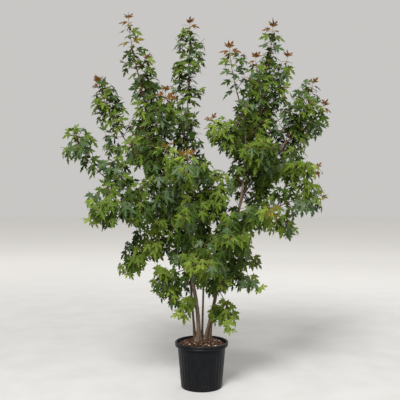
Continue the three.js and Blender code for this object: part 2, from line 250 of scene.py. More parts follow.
class JoinedMesh:
    """Many small shapes gathered as one mesh."""

    def __init__(self) -> None:
        """Starts empty."""
        self.points: list[Array] = []
        self.faces: list[Sequence[int]] = []
        self.places: list[Array] = []
        self.count = 0

    def add(self, points: Array, faces: Array, places: Array | None = None) -> None:
        """Adds one shape.

        Args:
            points: its points.
            faces: rows of numbers of its own points.
            places: each point's place on a flat pattern, where the finish has one.
        """
        self.points.append(points)
        self.faces.extend((faces + self.count).tolist())
        if places is not None:
            self.places.append(places)
        self.count += len(points)

    def mesh(self, name: str, smooth: bool = True) -> bpy.types.Mesh:
        """The gathered shapes as a mesh, with a UV map where they have places."""
        mesh = bpy.data.meshes.new(name)
        mesh.from_pydata(np.concatenate(self.points).tolist(), [], self.faces)
        if self.places:
            corners = np.empty(len(mesh.loops), np.int32)
            mesh.loops.foreach_get("vertex_index", corners)
            layer = mesh.uv_layers.new(name="UVMap")
            layer.uv.foreach_set("vector", np.concatenate(self.places)[corners].ravel())
        if smooth:
            mesh.shade_smooth()
        return mesh


def tube(path: Array, radii: Array, sides: int) -> tuple[Array, Array]:
    """A round twig along a path, closed to a point at both ends.

    Args:
        path: rows of points.
        radii: the radius at each point.
        sides: how many faces go round.

    Returns:
        Its points, and its faces as rows of three.
    """
    firsts, seconds = frames_along(path)
    angles = FULL_TURN * np.arange(sides) / sides
    spokes = np.cos(angles)[:, None] * firsts[:, None] + np.sin(angles)[:, None] * seconds[:, None]
    rings = path[:, None] + spokes * radii[:, None, None]
    steps = len(path) - 1
    here = np.arange(steps * sides).reshape(steps, sides)
    beside = np.roll(here, -1, axis=1)
    lower = np.stack((here, beside, beside + sides), -1).reshape(-1, 3)
    upper = np.stack((here, beside + sides, here + sides), -1).reshape(-1, 3)
    root, tip = len(path) * sides, len(path) * sides + 1
    ends = [(beside[0, i], here[0, i], root) for i in range(sides)]
    ends += [(here[-1, i] + sides, beside[-1, i] + sides, tip) for i in range(sides)]
    points = np.vstack((rings.reshape(-1, 3), path[:1], path[-1:]))
    return points, np.vstack((lower, upper, ends))


# Shader nodes and finishes


class Ramp(Enum):
    """How a value passes from one range to another."""

    SMOOTH = "SMOOTHSTEP"
    STRAIGHT = "LINEAR"


class Nodes:
    """Places and joins the nodes of one material or group."""

    # The numbers of a Mix node's sockets for colours
    MIX_FACTOR, MIX_A, MIX_B, MIX_RESULT = 0, 6, 7, 2

    def __init__(self, tree: bpy.types.NodeTree) -> None:
        """Works on an empty tree."""
        self.tree = tree

    def add(self, kind: str, inputs: dict[Any, Any] | None = None, **settings: Any) -> bpy.types.Node:
        """Places a node.

        Args:
            kind: the node's type, without its ShaderNode prefix.
            inputs: a socket to join or a plain value for each input, by its name or number.
            settings: the node's own properties.

        Returns:
            The node.
        """
        node = self.tree.nodes.new("ShaderNode" + kind)
        for name, value in settings.items():
            setattr(node, name, value)
        for key, value in (inputs or {}).items():
            if isinstance(value, bpy.types.NodeSocket):
                self.tree.links.new(value, node.inputs[key])
            else:
                node.inputs[key].default_value = value
        return node

    def math(self, operation: str, *values: Any) -> bpy.types.NodeSocket:
        """The result of a Math node on sockets or numbers."""
        return self.add("Math", dict(enumerate(values)), operation=operation).outputs[0]

    def ramp(
        self,
        value: Any,
        low: Any,
        high: Any,
        to_low: float = 0,
        to_high: float = 1,
        kind: Ramp = Ramp.SMOOTH,
    ) -> Any:
        """A value carried from one range to another, and held at its ends."""
        inputs = {"Value": value, "From Min": low, "From Max": high, "To Min": to_low, "To Max": to_high}
        return self.add("MapRange", inputs, interpolation_type=kind.value).outputs[0]

    def mix(self, factor: Any, first: Any, second: Any) -> Any:
        """A mix of two colours."""
        inputs = {self.MIX_FACTOR: factor, self.MIX_A: first, self.MIX_B: second}
        return self.add("Mix", inputs, data_type="RGBA").outputs[self.MIX_RESULT]

    def noise(self, place: Any, scale: Any, detail: float = 4, roughness: float = 0.55) -> Any:
        """The value of a noise texture."""
        inputs = {"Vector": place, "Scale": scale, "Detail": detail, "Roughness": roughness}
        return self.add("TexNoise", inputs).outputs[0]

    def group(self, tree: bpy.types.NodeTree, inputs: dict[str, Any]) -> bpy.types.Node:
        """Places a node group."""
        return self.add("Group", inputs, node_tree=tree)


def rgba(colour: Triple) -> tuple[float, float, float, float]:
    """A colour with full alpha, as sockets hold it."""
    return (*colour, 1.0)


class EffectGroups:
    """Effects that several finishes share, each built once as a node group."""

    # A width or an edge is where a mask starts to change, and where it ends.
    PATCH_EDGE = (0.33, 0.67)
    RIB_WIDTH = (0.005, 0.02)
    VEIN_ANGLES = (0.895, 1.857)  # from the rib
    VEIN_WIDTH = (0.003, 0.016)
    SIDE_VEINS = 11.0
    SIDE_VEIN_SLANT = 0.9
    SIDE_VEIN_WIDTH = (0.0, 0.14)
    SIDE_VEIN_STRENGTH = 0.5
    SPECK_NOISE = (8, 0.7)  # detail and roughness
    SPECK_EDGE = (0.45, 0.75)

    def __init__(self) -> None:
        """Builds the groups."""
        self.mottle = self._mottle()
        self.veins = self._veins()
        self.limb_place = self._limb_place()
        self.splash = self._splash()

    @staticmethod
    def _start(name: str, inputs: dict[str, str], outputs: dict[str, str]) -> tuple[Nodes, Any, Any]:
        """An empty group with named sockets, and its input and output nodes."""
        tree = bpy.data.node_groups.new(name, "ShaderNodeTree")
        for socket, kind in inputs.items():
            tree.interface.new_socket(name=socket, in_out="INPUT", socket_type="NodeSocket" + kind)
        for socket, kind in outputs.items():
            tree.interface.new_socket(name=socket, in_out="OUTPUT", socket_type="NodeSocket" + kind)
        given = tree.nodes.new("NodeGroupInput").outputs
        result = tree.nodes.new("NodeGroupOutput").inputs
        return Nodes(tree), given, result

    def _mottle(self) -> bpy.types.NodeTree:
        """Patches of two colours that pass into each other, and the mask that deals them out."""
        inputs = {"Place": "Vector", "Scale": "Float", "Dark": "Color", "Light": "Color"}
        nodes, given, result = self._start("mottle", inputs, {"Colour": "Color", "Mask": "Float"})
        mask = nodes.ramp(nodes.noise(given["Place"], given["Scale"]), *self.PATCH_EDGE)
        nodes.tree.links.new(mask, result["Mask"])
        nodes.tree.links.new(nodes.mix(mask, given["Dark"], given["Light"]), result["Colour"])
        return nodes.tree

    def _veins(self) -> bpy.types.NodeTree:
        """The rib and veins of a leaf, from a place across and along it."""
        nodes, given, result = self._start("leaf_veins", {"Place": "Vector"}, {"Mask": "Float"})
        split = nodes.add("SeparateXYZ", {0: given["Place"]})
        across = nodes.math("ABSOLUTE", split.outputs[0])
        along = split.outputs[1]
        mask = nodes.ramp(across, *self.RIB_WIDTH, 1, 0)
        angle = nodes.math("ARCTAN2", across, along)
        squares = nodes.math("ADD", nodes.math("POWER", across, 2), nodes.math("POWER", along, 2))
        reach = nodes.math("SQRT", squares)
        for vein in self.VEIN_ANGLES:
            turn = nodes.math("ABSOLUTE", nodes.math("SUBTRACT", angle, vein))
            aside = nodes.math("MULTIPLY", turn, reach)
            mask = nodes.math("MAXIMUM", mask, nodes.ramp(aside, *self.VEIN_WIDTH, 1, 0))
        slant = nodes.math("SUBTRACT", along, nodes.math("MULTIPLY", across, self.SIDE_VEIN_SLANT))
        ladder = nodes.math("FRACT", nodes.math("MULTIPLY", slant, self.SIDE_VEINS))
        from_rung = nodes.math("ABSOLUTE", nodes.math("SUBTRACT", ladder, 0.5))
        side_veins = nodes.ramp(from_rung, *self.SIDE_VEIN_WIDTH, self.SIDE_VEIN_STRENGTH, 0)
        nodes.tree.links.new(nodes.math("MAXIMUM", mask, side_veins), result["Mask"])
        return nodes.tree

    def _limb_place(self) -> bpy.types.NodeTree:
        """A seamless place round and along a limb, from its UV map."""
        inputs = {"UV": "Vector", "Round": "Float", "Along": "Float"}
        nodes, given, result = self._start("limb_place", inputs, {"Place": "Vector"})
        split = nodes.add("SeparateXYZ", {0: given["UV"]})
        angle = nodes.math("MULTIPLY", split.outputs[0], FULL_TURN)
        x = nodes.math("MULTIPLY", nodes.math("COSINE", angle), given["Round"])
        y = nodes.math("MULTIPLY", nodes.math("SINE", angle), given["Round"])
        z = nodes.math("MULTIPLY", split.outputs[1], given["Along"])
        nodes.tree.links.new(nodes.add("CombineXYZ", {0: x, 1: y, 2: z}).outputs[0], result["Place"])
        return nodes.tree

    def _splash(self) -> bpy.types.NodeTree:
        """Dried soil that thins out with height, as a mask."""
        inputs = {"Place": "Vector", "Low": "Float", "High": "Float", "Scale": "Float"}
        nodes, given, result = self._start("soil_splash", inputs, {"Mask": "Float"})
        height = nodes.add("SeparateXYZ", {0: given["Place"]}).outputs[2]
        fade = nodes.ramp(height, given["Low"], given["High"], 1, 0, Ramp.STRAIGHT)
        grains = nodes.noise(given["Place"], given["Scale"], *self.SPECK_NOISE)
        specks = nodes.ramp(grains, *self.SPECK_EDGE)
        nodes.tree.links.new(nodes.math("MULTIPLY", fade, specks), result["Mask"])
        return nodes.tree


@dataclass(frozen=True)
class Finish:
    """What every finish has: a name, two colours that mottle it, its roughness and its bump."""

    name: str
    dark: Triple
    light: Triple
    roughness: float
    scale: float
    specular: float = 0.12
    bump: Pair = (0.5, 0.0006)  # strength and depth
    uneven: Pair = (0.08, 0.08)  # how far the roughness falls and rises
    grain_edge: Pair = (0.3, 0.7)
    grain_finer: float = 6.0

    def _mottled(self, nodes: Nodes, effects: EffectGroups, place: Any) -> bpy.types.Node:
        """The two colours dealt out in patches."""
        inputs = {"Place": place, "Scale": self.scale, "Dark": rgba(self.dark), "Light": rgba(self.light)}
        return nodes.group(effects.mottle, inputs)

    def _varied(self, nodes: Nodes, value: Any, edge: Pair) -> Any:
        """The roughness, varied by a value within an edge."""
        less, more = self.uneven
        return nodes.ramp(value, *edge, self.roughness - less, self.roughness + more)

    def _layers(self, nodes: Nodes, effects: EffectGroups, coordinates: Any) -> Layers:
        """What the surface is made of: here it is matt and mottled, with a fine grain.

        Args:
            nodes: the material's nodes.
            effects: the shared node groups.
            coordinates: the outputs of the material's texture coordinates.

        Returns:
            Its colour, its roughness, and the height for its bump.
        """
        place = coordinates["Object"]
        patches = self._mottled(nodes, effects, place)
        grain = nodes.noise(place, self.scale * self.grain_finer)
        return patches.outputs["Colour"], self._varied(nodes, grain, self.grain_edge), grain

    def material(self, effects: EffectGroups) -> bpy.types.Material:
        """A new material in this finish.

        Args:
            effects: the shared node groups.

        Returns:
            The material.
        """
        material = bpy.data.materials.new(self.name)
        material.use_nodes = True
        material.node_tree.nodes.clear()
        nodes = Nodes(material.node_tree)
        colour, rough, height = self._layers(nodes, effects, nodes.add("TexCoord").outputs)
        strength, depth = self.bump
        bump = nodes.add("Bump", {"Height": height, "Strength": strength, "Distance": depth})
        inputs = {
            "Base Color": colour,
            "Roughness": rough,
            "Normal": bump.outputs[0],
            "Specular IOR Level": self.specular,
        }
        shader = nodes.add("BsdfPrincipled", inputs)
        nodes.add("OutputMaterial", {"Surface": shader.outputs[0]})
        return material


@dataclass(frozen=True)
class SoiledFinish(Finish):
    """A finish with dried soil near its foot."""

    soil: Triple = (0.06, 0.045, 0.032)
    splash: Triple = (0.0, 0.13, 55.0)  # from, to and scale

    def _soiled(self, nodes: Nodes, effects: EffectGroups, place: Any) -> Any:
        """Where the soil sticks, as a mask."""
        low, high, scale = self.splash
        inputs = {"Place": place, "Low": low, "High": high, "Scale": scale}
        return nodes.group(effects.splash, inputs).outputs["Mask"]


@dataclass(frozen=True)
class PlasticFinish(SoiledFinish):
    """Black moulded plastic with a fine grain, pale scuffs and a little soil."""

    bump: Pair = (0.25, 0.0003)
    grain: Pair = (900.0, 2)  # scale and detail
    scuff: Triple = (0.03, 0.032, 0.035)
    scuff_stretch: Triple = (1.0, 1.0, 0.12)
    scuff_noise: Triple = (90.0, 6, 0.7)  # scale, detail and roughness
    scuff_edge: Pair = (0.6, 0.78)
    scuff_strength: float = 0.35
    scuff_rougher: float = 0.5
    soil_strength: float = 0.3
    soil_rougher: float = 0.6

    def _layers(self, nodes: Nodes, effects: EffectGroups, coordinates: Any) -> Layers:
        """The plastic's colour, roughness and height."""
        place = coordinates["Object"]
        patches = self._mottled(nodes, effects, place)
        stretched = nodes.add("Mapping", {"Vector": place, "Scale": self.scuff_stretch}).outputs[0]
        streaks = nodes.noise(stretched, *self.scuff_noise)
        scuffs = nodes.ramp(streaks, *self.scuff_edge, 0, self.scuff_strength)
        soiled = nodes.math("MULTIPLY", self._soiled(nodes, effects, place), self.soil_strength)
        colour = nodes.mix(scuffs, patches.outputs["Colour"], rgba(self.scuff))
        colour = nodes.mix(soiled, colour, rgba(self.soil))
        scuffed = nodes.math("MULTIPLY", scuffs, self.scuff_rougher)
        worn = nodes.math("ADD", scuffed, nodes.math("MULTIPLY", soiled, self.soil_rougher))
        return colour, nodes.math("ADD", worn, self.roughness), nodes.noise(place, *self.grain)


@dataclass(frozen=True)
class BarkFinish(SoiledFinish):
    """Grey-brown bark with streaks along the limb, pale breathing pores, and soil at its foot."""

    bump: Pair = (0.6, 0.0012)
    uneven: Pair = (0.1, 0.08)
    grain: float = 450.0
    grain_share: float = 0.5
    streaks: Pair = (1.0, 9.0)  # how fine, round the limb and along it
    pores: Pair = (1.6, 80.0)
    pore: Triple = (0.3, 0.245, 0.19)
    pore_edge: Pair = (0.1, 0.22)
    pore_strength: float = 0.7
    soil: Triple = (0.06, 0.04, 0.028)
    splash: Triple = (0.3, 0.42, 60.0)

    @staticmethod
    def _place(nodes: Nodes, effects: EffectGroups, flat: Any, fineness: Pair) -> Any:
        """A place on the limb for a pattern, from its UV map."""
        inputs = {"UV": flat, "Round": fineness[0], "Along": fineness[1]}
        return nodes.group(effects.limb_place, inputs).outputs[0]

    def _layers(self, nodes: Nodes, effects: EffectGroups, coordinates: Any) -> Layers:
        """The bark's colour, roughness and height."""
        flat, place = coordinates["UV"], coordinates["Object"]
        streaks = self._mottled(nodes, effects, self._place(nodes, effects, flat, self.streaks))
        cells = {"Vector": self._place(nodes, effects, flat, self.pores), "Scale": 1.0}
        from_pore = nodes.add("TexVoronoi", cells).outputs["Distance"]
        pores = nodes.ramp(from_pore, *self.pore_edge, self.pore_strength, 0)
        colour = nodes.mix(pores, streaks.outputs["Colour"], rgba(self.pore))
        colour = nodes.mix(self._soiled(nodes, effects, place), colour, rgba(self.soil))
        grain = nodes.noise(place, self.grain)
        shallow = nodes.math("MULTIPLY", grain, self.grain_share)
        height = nodes.math("ADD", streaks.outputs["Mask"], shallow)
        return colour, self._varied(nodes, grain, self.grain_edge), height


@dataclass(frozen=True)
class LeafFinish(Finish):
    """A leaf with paler veins, lightened partly as painted highlight, and a soft sheen."""

    roughness: float = 0.5
    scale: float = 14.0
    specular: float = 0.04
    bump: Pair = (0.4, 0.0008)
    uneven: Pair = (0.07, 0.07)
    # Pale veins, lighter and greyer than the blade, partly a painted highlight
    vein: Triple = (0.2, 0.27, 0.08)
    vein_and_highlight_strength: float = 0.65

    def _layers(self, nodes: Nodes, effects: EffectGroups, coordinates: Any) -> Layers:
        """The leaf's colour, roughness and height."""
        patches = self._mottled(nodes, effects, coordinates["Object"])
        place = nodes.add("Mapping", {"Vector": coordinates["UV"], "Location": LeafShape.UV_SHIFT})
        veins = nodes.group(effects.veins, {"Place": place.outputs[0]}).outputs["Mask"]
        # The veins mixed in at their colour, partly a painted highlight
        veins_and_painted_highlight = nodes.math("MULTIPLY", veins, self.vein_and_highlight_strength)
        colour = nodes.mix(veins_and_painted_highlight, patches.outputs["Colour"], rgba(self.vein))
        return colour, self._varied(nodes, patches.outputs["Mask"], (0, 1)), veins


@dataclass(frozen=True)
class FloorFinish(Finish):
    """A pale floor that grows paler with distance, so that it passes into the sky."""

    bump: Pair = (0.1, 0.0005)
    grain: float = 160.0
    far: Triple = (0.97, 0.955, 0.93)
    fade: Pair = (1.5, 10.0)  # where it starts and ends

    def _layers(self, nodes: Nodes, effects: EffectGroups, coordinates: Any) -> Layers:
        """The floor's colour, roughness and height."""
        place = coordinates["Object"]
        patches = self._mottled(nodes, effects, place)
        distance = nodes.add("VectorMath", {0: place}, operation="LENGTH").outputs["Value"]
        colour = nodes.mix(nodes.ramp(distance, *self.fade), patches.outputs["Colour"], rgba(self.far))
        return colour, self.roughness, nodes.noise(place, self.grain)


COOL_SHEEN = {"roughness": 0.42, "specular": 0.13}
YOUNG_SHEEN = {"roughness": 0.48}

# Each leaf colour's dark and light patches, its veins, and what else sets it apart. The vein colours are
# lighter and greyer than real veins, in part as painted highlight.
LEAF_FINISHES = {
    tint: LeafFinish("leaf_" + tint.value, dark, light, vein=vein, **sheen)
    for tint, dark, light, vein, sheen in (
        # DEEP: old leaves' dark green, darkened further as painted shade
        (Tint.DEEP, (0.011, 0.025, 0.001), (0.022, 0.044, 0.002), (0.08, 0.11, 0.045), {}),
        # COOL: green with a painted blue-grey sky reflection in its colour
        (Tint.COOL, (0.022, 0.047, 0.011), (0.039, 0.07, 0.02), (0.14, 0.18, 0.1), COOL_SHEEN),
        (Tint.MID, (0.034, 0.063, 0.002), (0.056, 0.092, 0.004), (0.18, 0.21, 0.075), {}),
        (Tint.FRESH, (0.056, 0.094, 0.004), (0.085, 0.128, 0.008), (0.25, 0.29, 0.11), {}),
        (Tint.LIME, (0.09, 0.134, 0.006), (0.13, 0.178, 0.014), (0.34, 0.37, 0.14), {}),
        (Tint.GOLD, (0.066, 0.054, 0.003), (0.098, 0.078, 0.006), (0.17, 0.135, 0.04), {}),
        (Tint.BRONZE, (0.058, 0.022, 0.002), (0.092, 0.036, 0.004), (0.15, 0.07, 0.02), YOUNG_SHEEN),
    )
}
POT_FINISH = PlasticFinish(
    "pot_plastic", (0.004, 0.0046, 0.0058), (0.0066, 0.0074, 0.009), roughness=0.37, scale=22
)
SOIL_FINISH = Finish("soil_crumb", (0.016, 0.008, 0.004), (0.042, 0.023, 0.013), roughness=0.95, scale=60)
BARK_FINISH = BarkFinish("bark", (0.072, 0.05, 0.034), (0.2, 0.146, 0.1), roughness=0.82, scale=3.2)
TWIG_FINISH = Finish("twig_bark", (0.07, 0.035, 0.022), (0.14, 0.075, 0.045), roughness=0.7, scale=60)
STALK_FINISH = Finish("leaf_stalk", (0.17, 0.07, 0.035), (0.2, 0.16, 0.05), roughness=0.55, scale=40)


# Pot and soil


@dataclass
class Pot:
    """A black nursery pot: a fluted tapering wall under a rolled rim."""

    height: float = 0.302
    foot_radius: float = 0.136
    foot_round: float = 0.006
    foot_sweep: Pair = (-90, 0)  # in degrees
    shoulder_radius: float = 0.16
    rim_radius: float = 0.178
    rim_height: float = 0.03
    wall: float = 0.0035
    ridge_round: Pair = (0.0065, 0.0075)  # of the lower ridge and of the lip
    ridge_inset: float = 0.0015
    ridge_sweep: Pair = (-90, 60)
    groove_depth: float = 0.0045
    lip_sweep: Pair = (-60, 90)
    lip_inner: float = 0.009
    flutes: int = 34
    flute_steps: int = 6
    flute_depth: float = 0.002
    flute_reach: Pair = (0.012, 0.228)
    flute_run_out: float = 0.012
    flute_rings: int = 12
    arc_steps: int = 6
    crease: float = math.radians(35)

    @property
    def rim_foot(self) -> float:
        """The height at which the rim starts."""
        return self.height - self.rim_height

    def wall_radius(self, height: float) -> float:
        """The outer radius of the wall at a height."""
        rise = (self.shoulder_radius - self.foot_radius) / self.rim_foot
        return self.foot_radius + rise * height

    def inner_radius(self, height: float) -> float:
        """The inner radius of the wall at a height below the rim."""
        return self.wall_radius(height) - self.wall

    def _arc(self, centre: Pair, radius: float, start: float, end: float) -> list[Pair]:
        """Points of a round stretch of the profile, between two angles in degrees."""
        angles = np.radians(np.linspace(start, end, self.arc_steps + 1))
        return [(centre[0] + radius * math.cos(a), centre[1] + radius * math.sin(a)) for a in angles]

    def profile(self) -> list[Pair]:
        """The section of the pot, from the middle of its underside over the rim to its inner floor."""
        rings = np.linspace(*self.flute_reach, self.flute_rings + 1)
        foot = (self.foot_radius - self.foot_round, self.foot_round)
        low, high = self.ridge_round
        ridge = (self.rim_radius - self.ridge_inset - low, self.rim_foot + low)
        lip = (self.rim_radius - high, self.height - high)
        groove = (self.rim_radius - self.groove_depth, (ridge[1] + low + lip[1] - high) / 2)
        bevel = self.wall / 3
        return [
            (0, 0),
            *self._arc(foot, self.foot_round, *self.foot_sweep),
            *[(self.wall_radius(ring), ring) for ring in rings],
            (self.shoulder_radius, self.rim_foot),
            *self._arc(ridge, low, *self.ridge_sweep),
            groove,
            *self._arc(lip, high, *self.lip_sweep),
            (self.rim_radius - self.lip_inner - bevel, self.height - bevel),
            (self.inner_radius(self.rim_foot), self.rim_foot),
            (self.inner_radius(self.wall), self.wall),
            (0, self.wall),
        ]

    def _flute(self, vert: bmesh.types.BMVert) -> None:
        """Presses a point of the outer wall in where a flute passes."""
        low, high = self.flute_reach
        radius = math.hypot(vert.co.x, vert.co.y)
        if not low < vert.co.z < high or radius < self.inner_radius(vert.co.z) + self.wall / 2:
            return
        turn = math.atan2(vert.co.y, vert.co.x) / FULL_TURN * self.flutes
        groove = 0.5 - 0.5 * math.cos(FULL_TURN * turn)
        run_out = min(1.0, min(high - vert.co.z, vert.co.z - low) / self.flute_run_out)
        pressed = 1 - self.flute_depth * groove * run_out / radius
        vert.co.x *= pressed
        vert.co.y *= pressed

    def build(self, effects: EffectGroups) -> None:
        """Models and publishes the pot."""
        shape = spun(self.profile(), self.flutes * self.flute_steps)
        for vert in shape.verts:
            self._flute(vert)
        mesh = finished(shape, "pot_shell", self.crease)
        publish(link("pot_shell", mesh, POT_FINISH.material(effects)), ["pot"])


@dataclass
class Soil:
    """The potting mix: a lumpy mound with bark chips lying on it."""

    CHIP_SQUARE = ((-0.5, -0.5), (0.5, -0.5), (0.5, 0.5), (-0.5, 0.5))
    CHIP_FACES = ((0, 3, 2, 1), (4, 5, 6, 7), (0, 1, 5, 4), (1, 2, 6, 5), (2, 3, 7, 6), (3, 0, 4, 7))

    pot: Pot
    feet: list[Array]
    gap: float = 0.0003
    below_rim: float = 0.017
    mound: float = 0.024
    plateau: float = 0.08
    lump: float = 0.0028
    lump_scale: float = 70.0
    lump_noise: Triple = (0.8, 2.1, 4)  # how its octaves fade, the step between them, and their number
    lump_level: float = 0.5
    columns: int = 96
    rings: int = 26
    chips: int = 1500
    chip_length: Pair = (0.005, 0.016)
    chip_width: Pair = (0.35, 0.75)
    chip_height: Pair = (0.15, 0.35)
    chip_corners: Pair = (0.6, 1.1)
    chip_rise: Pair = (0.1, 0.5)
    chip_tilt: float = 0.3
    foot_clearance: float = 0.02
    crease: float = math.radians(60)
    # Each finish, and how often it falls to a chip
    chip_finishes: tuple[tuple[Finish, int], ...] = (
        (Finish("chips_dark", (0.02, 0.01, 0.005), (0.05, 0.027, 0.016), roughness=0.9, scale=90), 6),
        (Finish("chips_red", (0.06, 0.028, 0.016), (0.12, 0.06, 0.034), roughness=0.88, scale=90), 4),
        (Finish("chips_pale", (0.33, 0.25, 0.17), (0.55, 0.44, 0.32), roughness=0.85, scale=90), 1),
    )

    @property
    def edge(self) -> float:
        """The height of the soil along the pot's wall."""
        return self.pot.height - self.below_rim

    @property
    def radius(self) -> float:
        """The radius of the soil's top."""
        return self.pot.inner_radius(self.pot.rim_foot) - self.gap

    def height(self, x: float, y: float) -> float:
        """The height of the soil's top at a place, with its lumps."""
        out = (math.hypot(x, y) - self.plateau) / (self.radius - self.plateau)
        fall = min(max(out, 0.0), 1.0)
        eased = fall * fall * (3 - 2 * fall)
        lumps = noise.fractal(Vector((x, y, 0)) * self.lump_scale, *self.lump_noise)
        return self.edge + self.mound * (1 - eased) + self.lump * (lumps - self.lump_level)

    def build(self, effects: EffectGroups) -> None:
        """Models and publishes the bed and its chips."""
        floor = self.pot.wall + self.gap
        steps = np.linspace(0, 1, self.rings + 1)[1:]
        top = [(self.radius * step, self.edge) for step in steps]
        wall = [(self.radius, self.pot.rim_foot), (self.pot.inner_radius(floor) - self.gap, floor)]
        shape = spun([(0, self.edge), *top, *wall, (0, floor)], self.columns)
        for vert in shape.verts:
            if vert.co.z > self.pot.rim_foot + self.gap:
                vert.co.z = self.height(vert.co.x, vert.co.y)
        mesh = finished(shape, "soil_bed", self.crease)
        publish(link("soil_bed", mesh, SOIL_FINISH.material(effects)), ["soil"])
        self._scatter_chips(effects)

    def _chip(self, dice: random.Random) -> tuple[Array, Array] | None:
        """One bark chip on the bed, or None where a stem stands."""
        spread = math.sqrt(dice.random()) * (self.radius - self.chip_length[1])
        angle = dice.random() * FULL_TURN
        place = np.array((spread * math.cos(angle), spread * math.sin(angle), 0.0))
        if any(np.linalg.norm(place[:2] - foot[:2]) < self.foot_clearance for foot in self.feet):
            return None
        length = dice.uniform(*self.chip_length)
        width = length * dice.uniform(*self.chip_width)
        thickness = length * dice.uniform(*self.chip_height)
        corners = np.array([(x, y, z) for z in (-0.5, 0.5) for x, y in self.CHIP_SQUARE])
        uneven = np.array([[dice.uniform(*self.chip_corners) for _ in range(3)] for _ in corners])
        corners *= np.array((length, width, thickness)) * uneven
        place[2] = self.height(place[0], place[1]) + thickness * dice.uniform(*self.chip_rise)
        turn = dice.random() * FULL_TURN
        level = np.array((math.cos(turn), math.sin(turn), 0.0))
        forward = unit(level + UP * dice.gauss(0, self.chip_tilt))
        across = unit(np.cross(UP, forward) + UP * dice.gauss(0, self.chip_tilt))
        points = place + corners @ np.array((forward, across, np.cross(forward, across)))
        return points, np.array(self.CHIP_FACES)

    def _scatter_chips(self, effects: EffectGroups) -> None:
        """Scatters the chips, each finish as a piece of its own."""
        dice = random.Random("bark chips")
        finishes = [finish for finish, _ in self.chip_finishes]
        weights = [weight for _, weight in self.chip_finishes]
        gathered = {finish.name: JoinedMesh() for finish in finishes}
        for _ in range(self.chips):
            chip = self._chip(dice)
            if chip:
                gathered[dice.choices(finishes, weights)[0].name].add(*chip)
        for finish in finishes:
            mesh = gathered[finish.name].mesh(finish.name, smooth=False)
            publish(link("soil_" + finish.name, mesh, finish.material(effects)))


# Limbs


@dataclass
class Limb:
    """A limb with a bough's settings: its line, its radius at both ends, its root's swelling, its bark."""

    name: str
    curve: Curve
    radius: Pair
    swell: float = 0.5
    swell_share: float = 0.1
    sides: int = 16
    steps: int = 60
    lobes: int = 0
    lobe_depth: float = 0.35
    relief: float = 0.075
    relief_scale: Pair = (2.2, 14.0)  # round the limb and along it
    relief_noise: Triple = (0.9, 2.2, 4)  # how its octaves fade, the step between them, and their number
    ring_spacing: float = 0.055
    ring_height: float = 0.07
    ring_sharpness: float = 7.0
    crease: float = math.radians(70)

    def radii(self, shares: Array) -> Array:
        """The radius at shares of the limb's length."""
        root, tip = self.radius
        flare = np.clip(1 - shares / self.swell_share, 0, 1) ** 2 * self.swell
        return root + (tip - root) * shares + root * flare

    def _roughened(self, angle: float, share: float, flare: float) -> float:
        """How far bark relief, bud rings and root lobes make the radius differ, as a factor."""
        travelled = share * self.curve.length
        finer_round, finer_along = self.relief_scale
        around = Vector((math.cos(angle), math.sin(angle), 0)) * finer_round
        furrows = noise.fractal(around + Vector((0, 0, travelled * finer_along)), *self.relief_noise)
        from_ring = (travelled / self.ring_spacing + 0.5) % 1 - 0.5
        swollen = self.ring_height * math.exp(-((from_ring * self.ring_sharpness) ** 2))
        lobes = self.lobe_depth * flare * math.cos(self.lobes * angle) if self.lobes else 0
        return 1 + self.relief * furrows + swollen + lobes

    def build(self, material: bpy.types.Material) -> None:
        """Models the bark as a sheet rolled round the limb's line, and publishes it."""
        shape = bmesh.new()
        layer = shape.loops.layers.uv.new("UVMap")
        bmesh.ops.create_grid(shape, x_segments=self.sides, y_segments=self.steps, size=0.5)
        for face in shape.faces:
            for corner in face.loops:
                corner[layer].uv = (corner.vert.co.x + 0.5, (corner.vert.co.y + 0.5) * self.curve.length)
        shares = np.linspace(0, 1, self.steps + 1)
        path = self.curve.points(shares)
        firsts, seconds = frames_along(path)
        radii = self.radii(shares)
        for vert in shape.verts:
            angle = (vert.co.x + 0.5) * FULL_TURN
            step = round((vert.co.y + 0.5) * self.steps)
            flare = max(0.0, 1 - shares[step] / self.swell_share)
            radius = radii[step] * self._roughened(angle, shares[step], flare)
            spoke = firsts[step] * math.cos(angle) + seconds[step] * math.sin(angle)
            vert.co = path[step] + spoke * radius
        bmesh.ops.remove_doubles(shape, verts=shape.verts, dist=SAME_POINT)
        bmesh.ops.holes_fill(shape, edges=[edge for edge in shape.edges if edge.is_boundary])
        mesh = finished(shape, "bark_" + self.name, self.crease)
        publish(link("bark_" + self.name, mesh, material), [self.name])


@dataclass
class Stem(Limb):
    """A limb that stands in the soil on a lobed foot."""

    swell: float = 0.35
    swell_share: float = 0.06
    sides: int = 24
    steps: int = 180
    lobes: int = 4


@dataclass(frozen=True)
class StemRow:
    """A stem's foot, points a third and two thirds of the way up, its tip, and its radius at both ends."""

    name: str
    foot: Pair
    third: Triple
    two_thirds: Triple
    tip: Triple
    radius: Pair


@dataclass(frozen=True)
class BoughRow:
    """The limb that a bough leaves and how far up it, its tip and how steeply that rises, and its radii."""

    name: str
    carrier: str
    at: float
    tip: Triple
    rise: float
    radius: Pair = (0.006, 0.0038)


@dataclass(frozen=True)
class ShootRow:
    """A shoot's limb, its tip and how that rises, its leaves' spread, its fullness and its young leaves."""

    name: str
    carrier: str
    at: float
    tip: Triple
    rise: float
    spread: float
    fullness: float
    young: Tip = Tip.GREEN


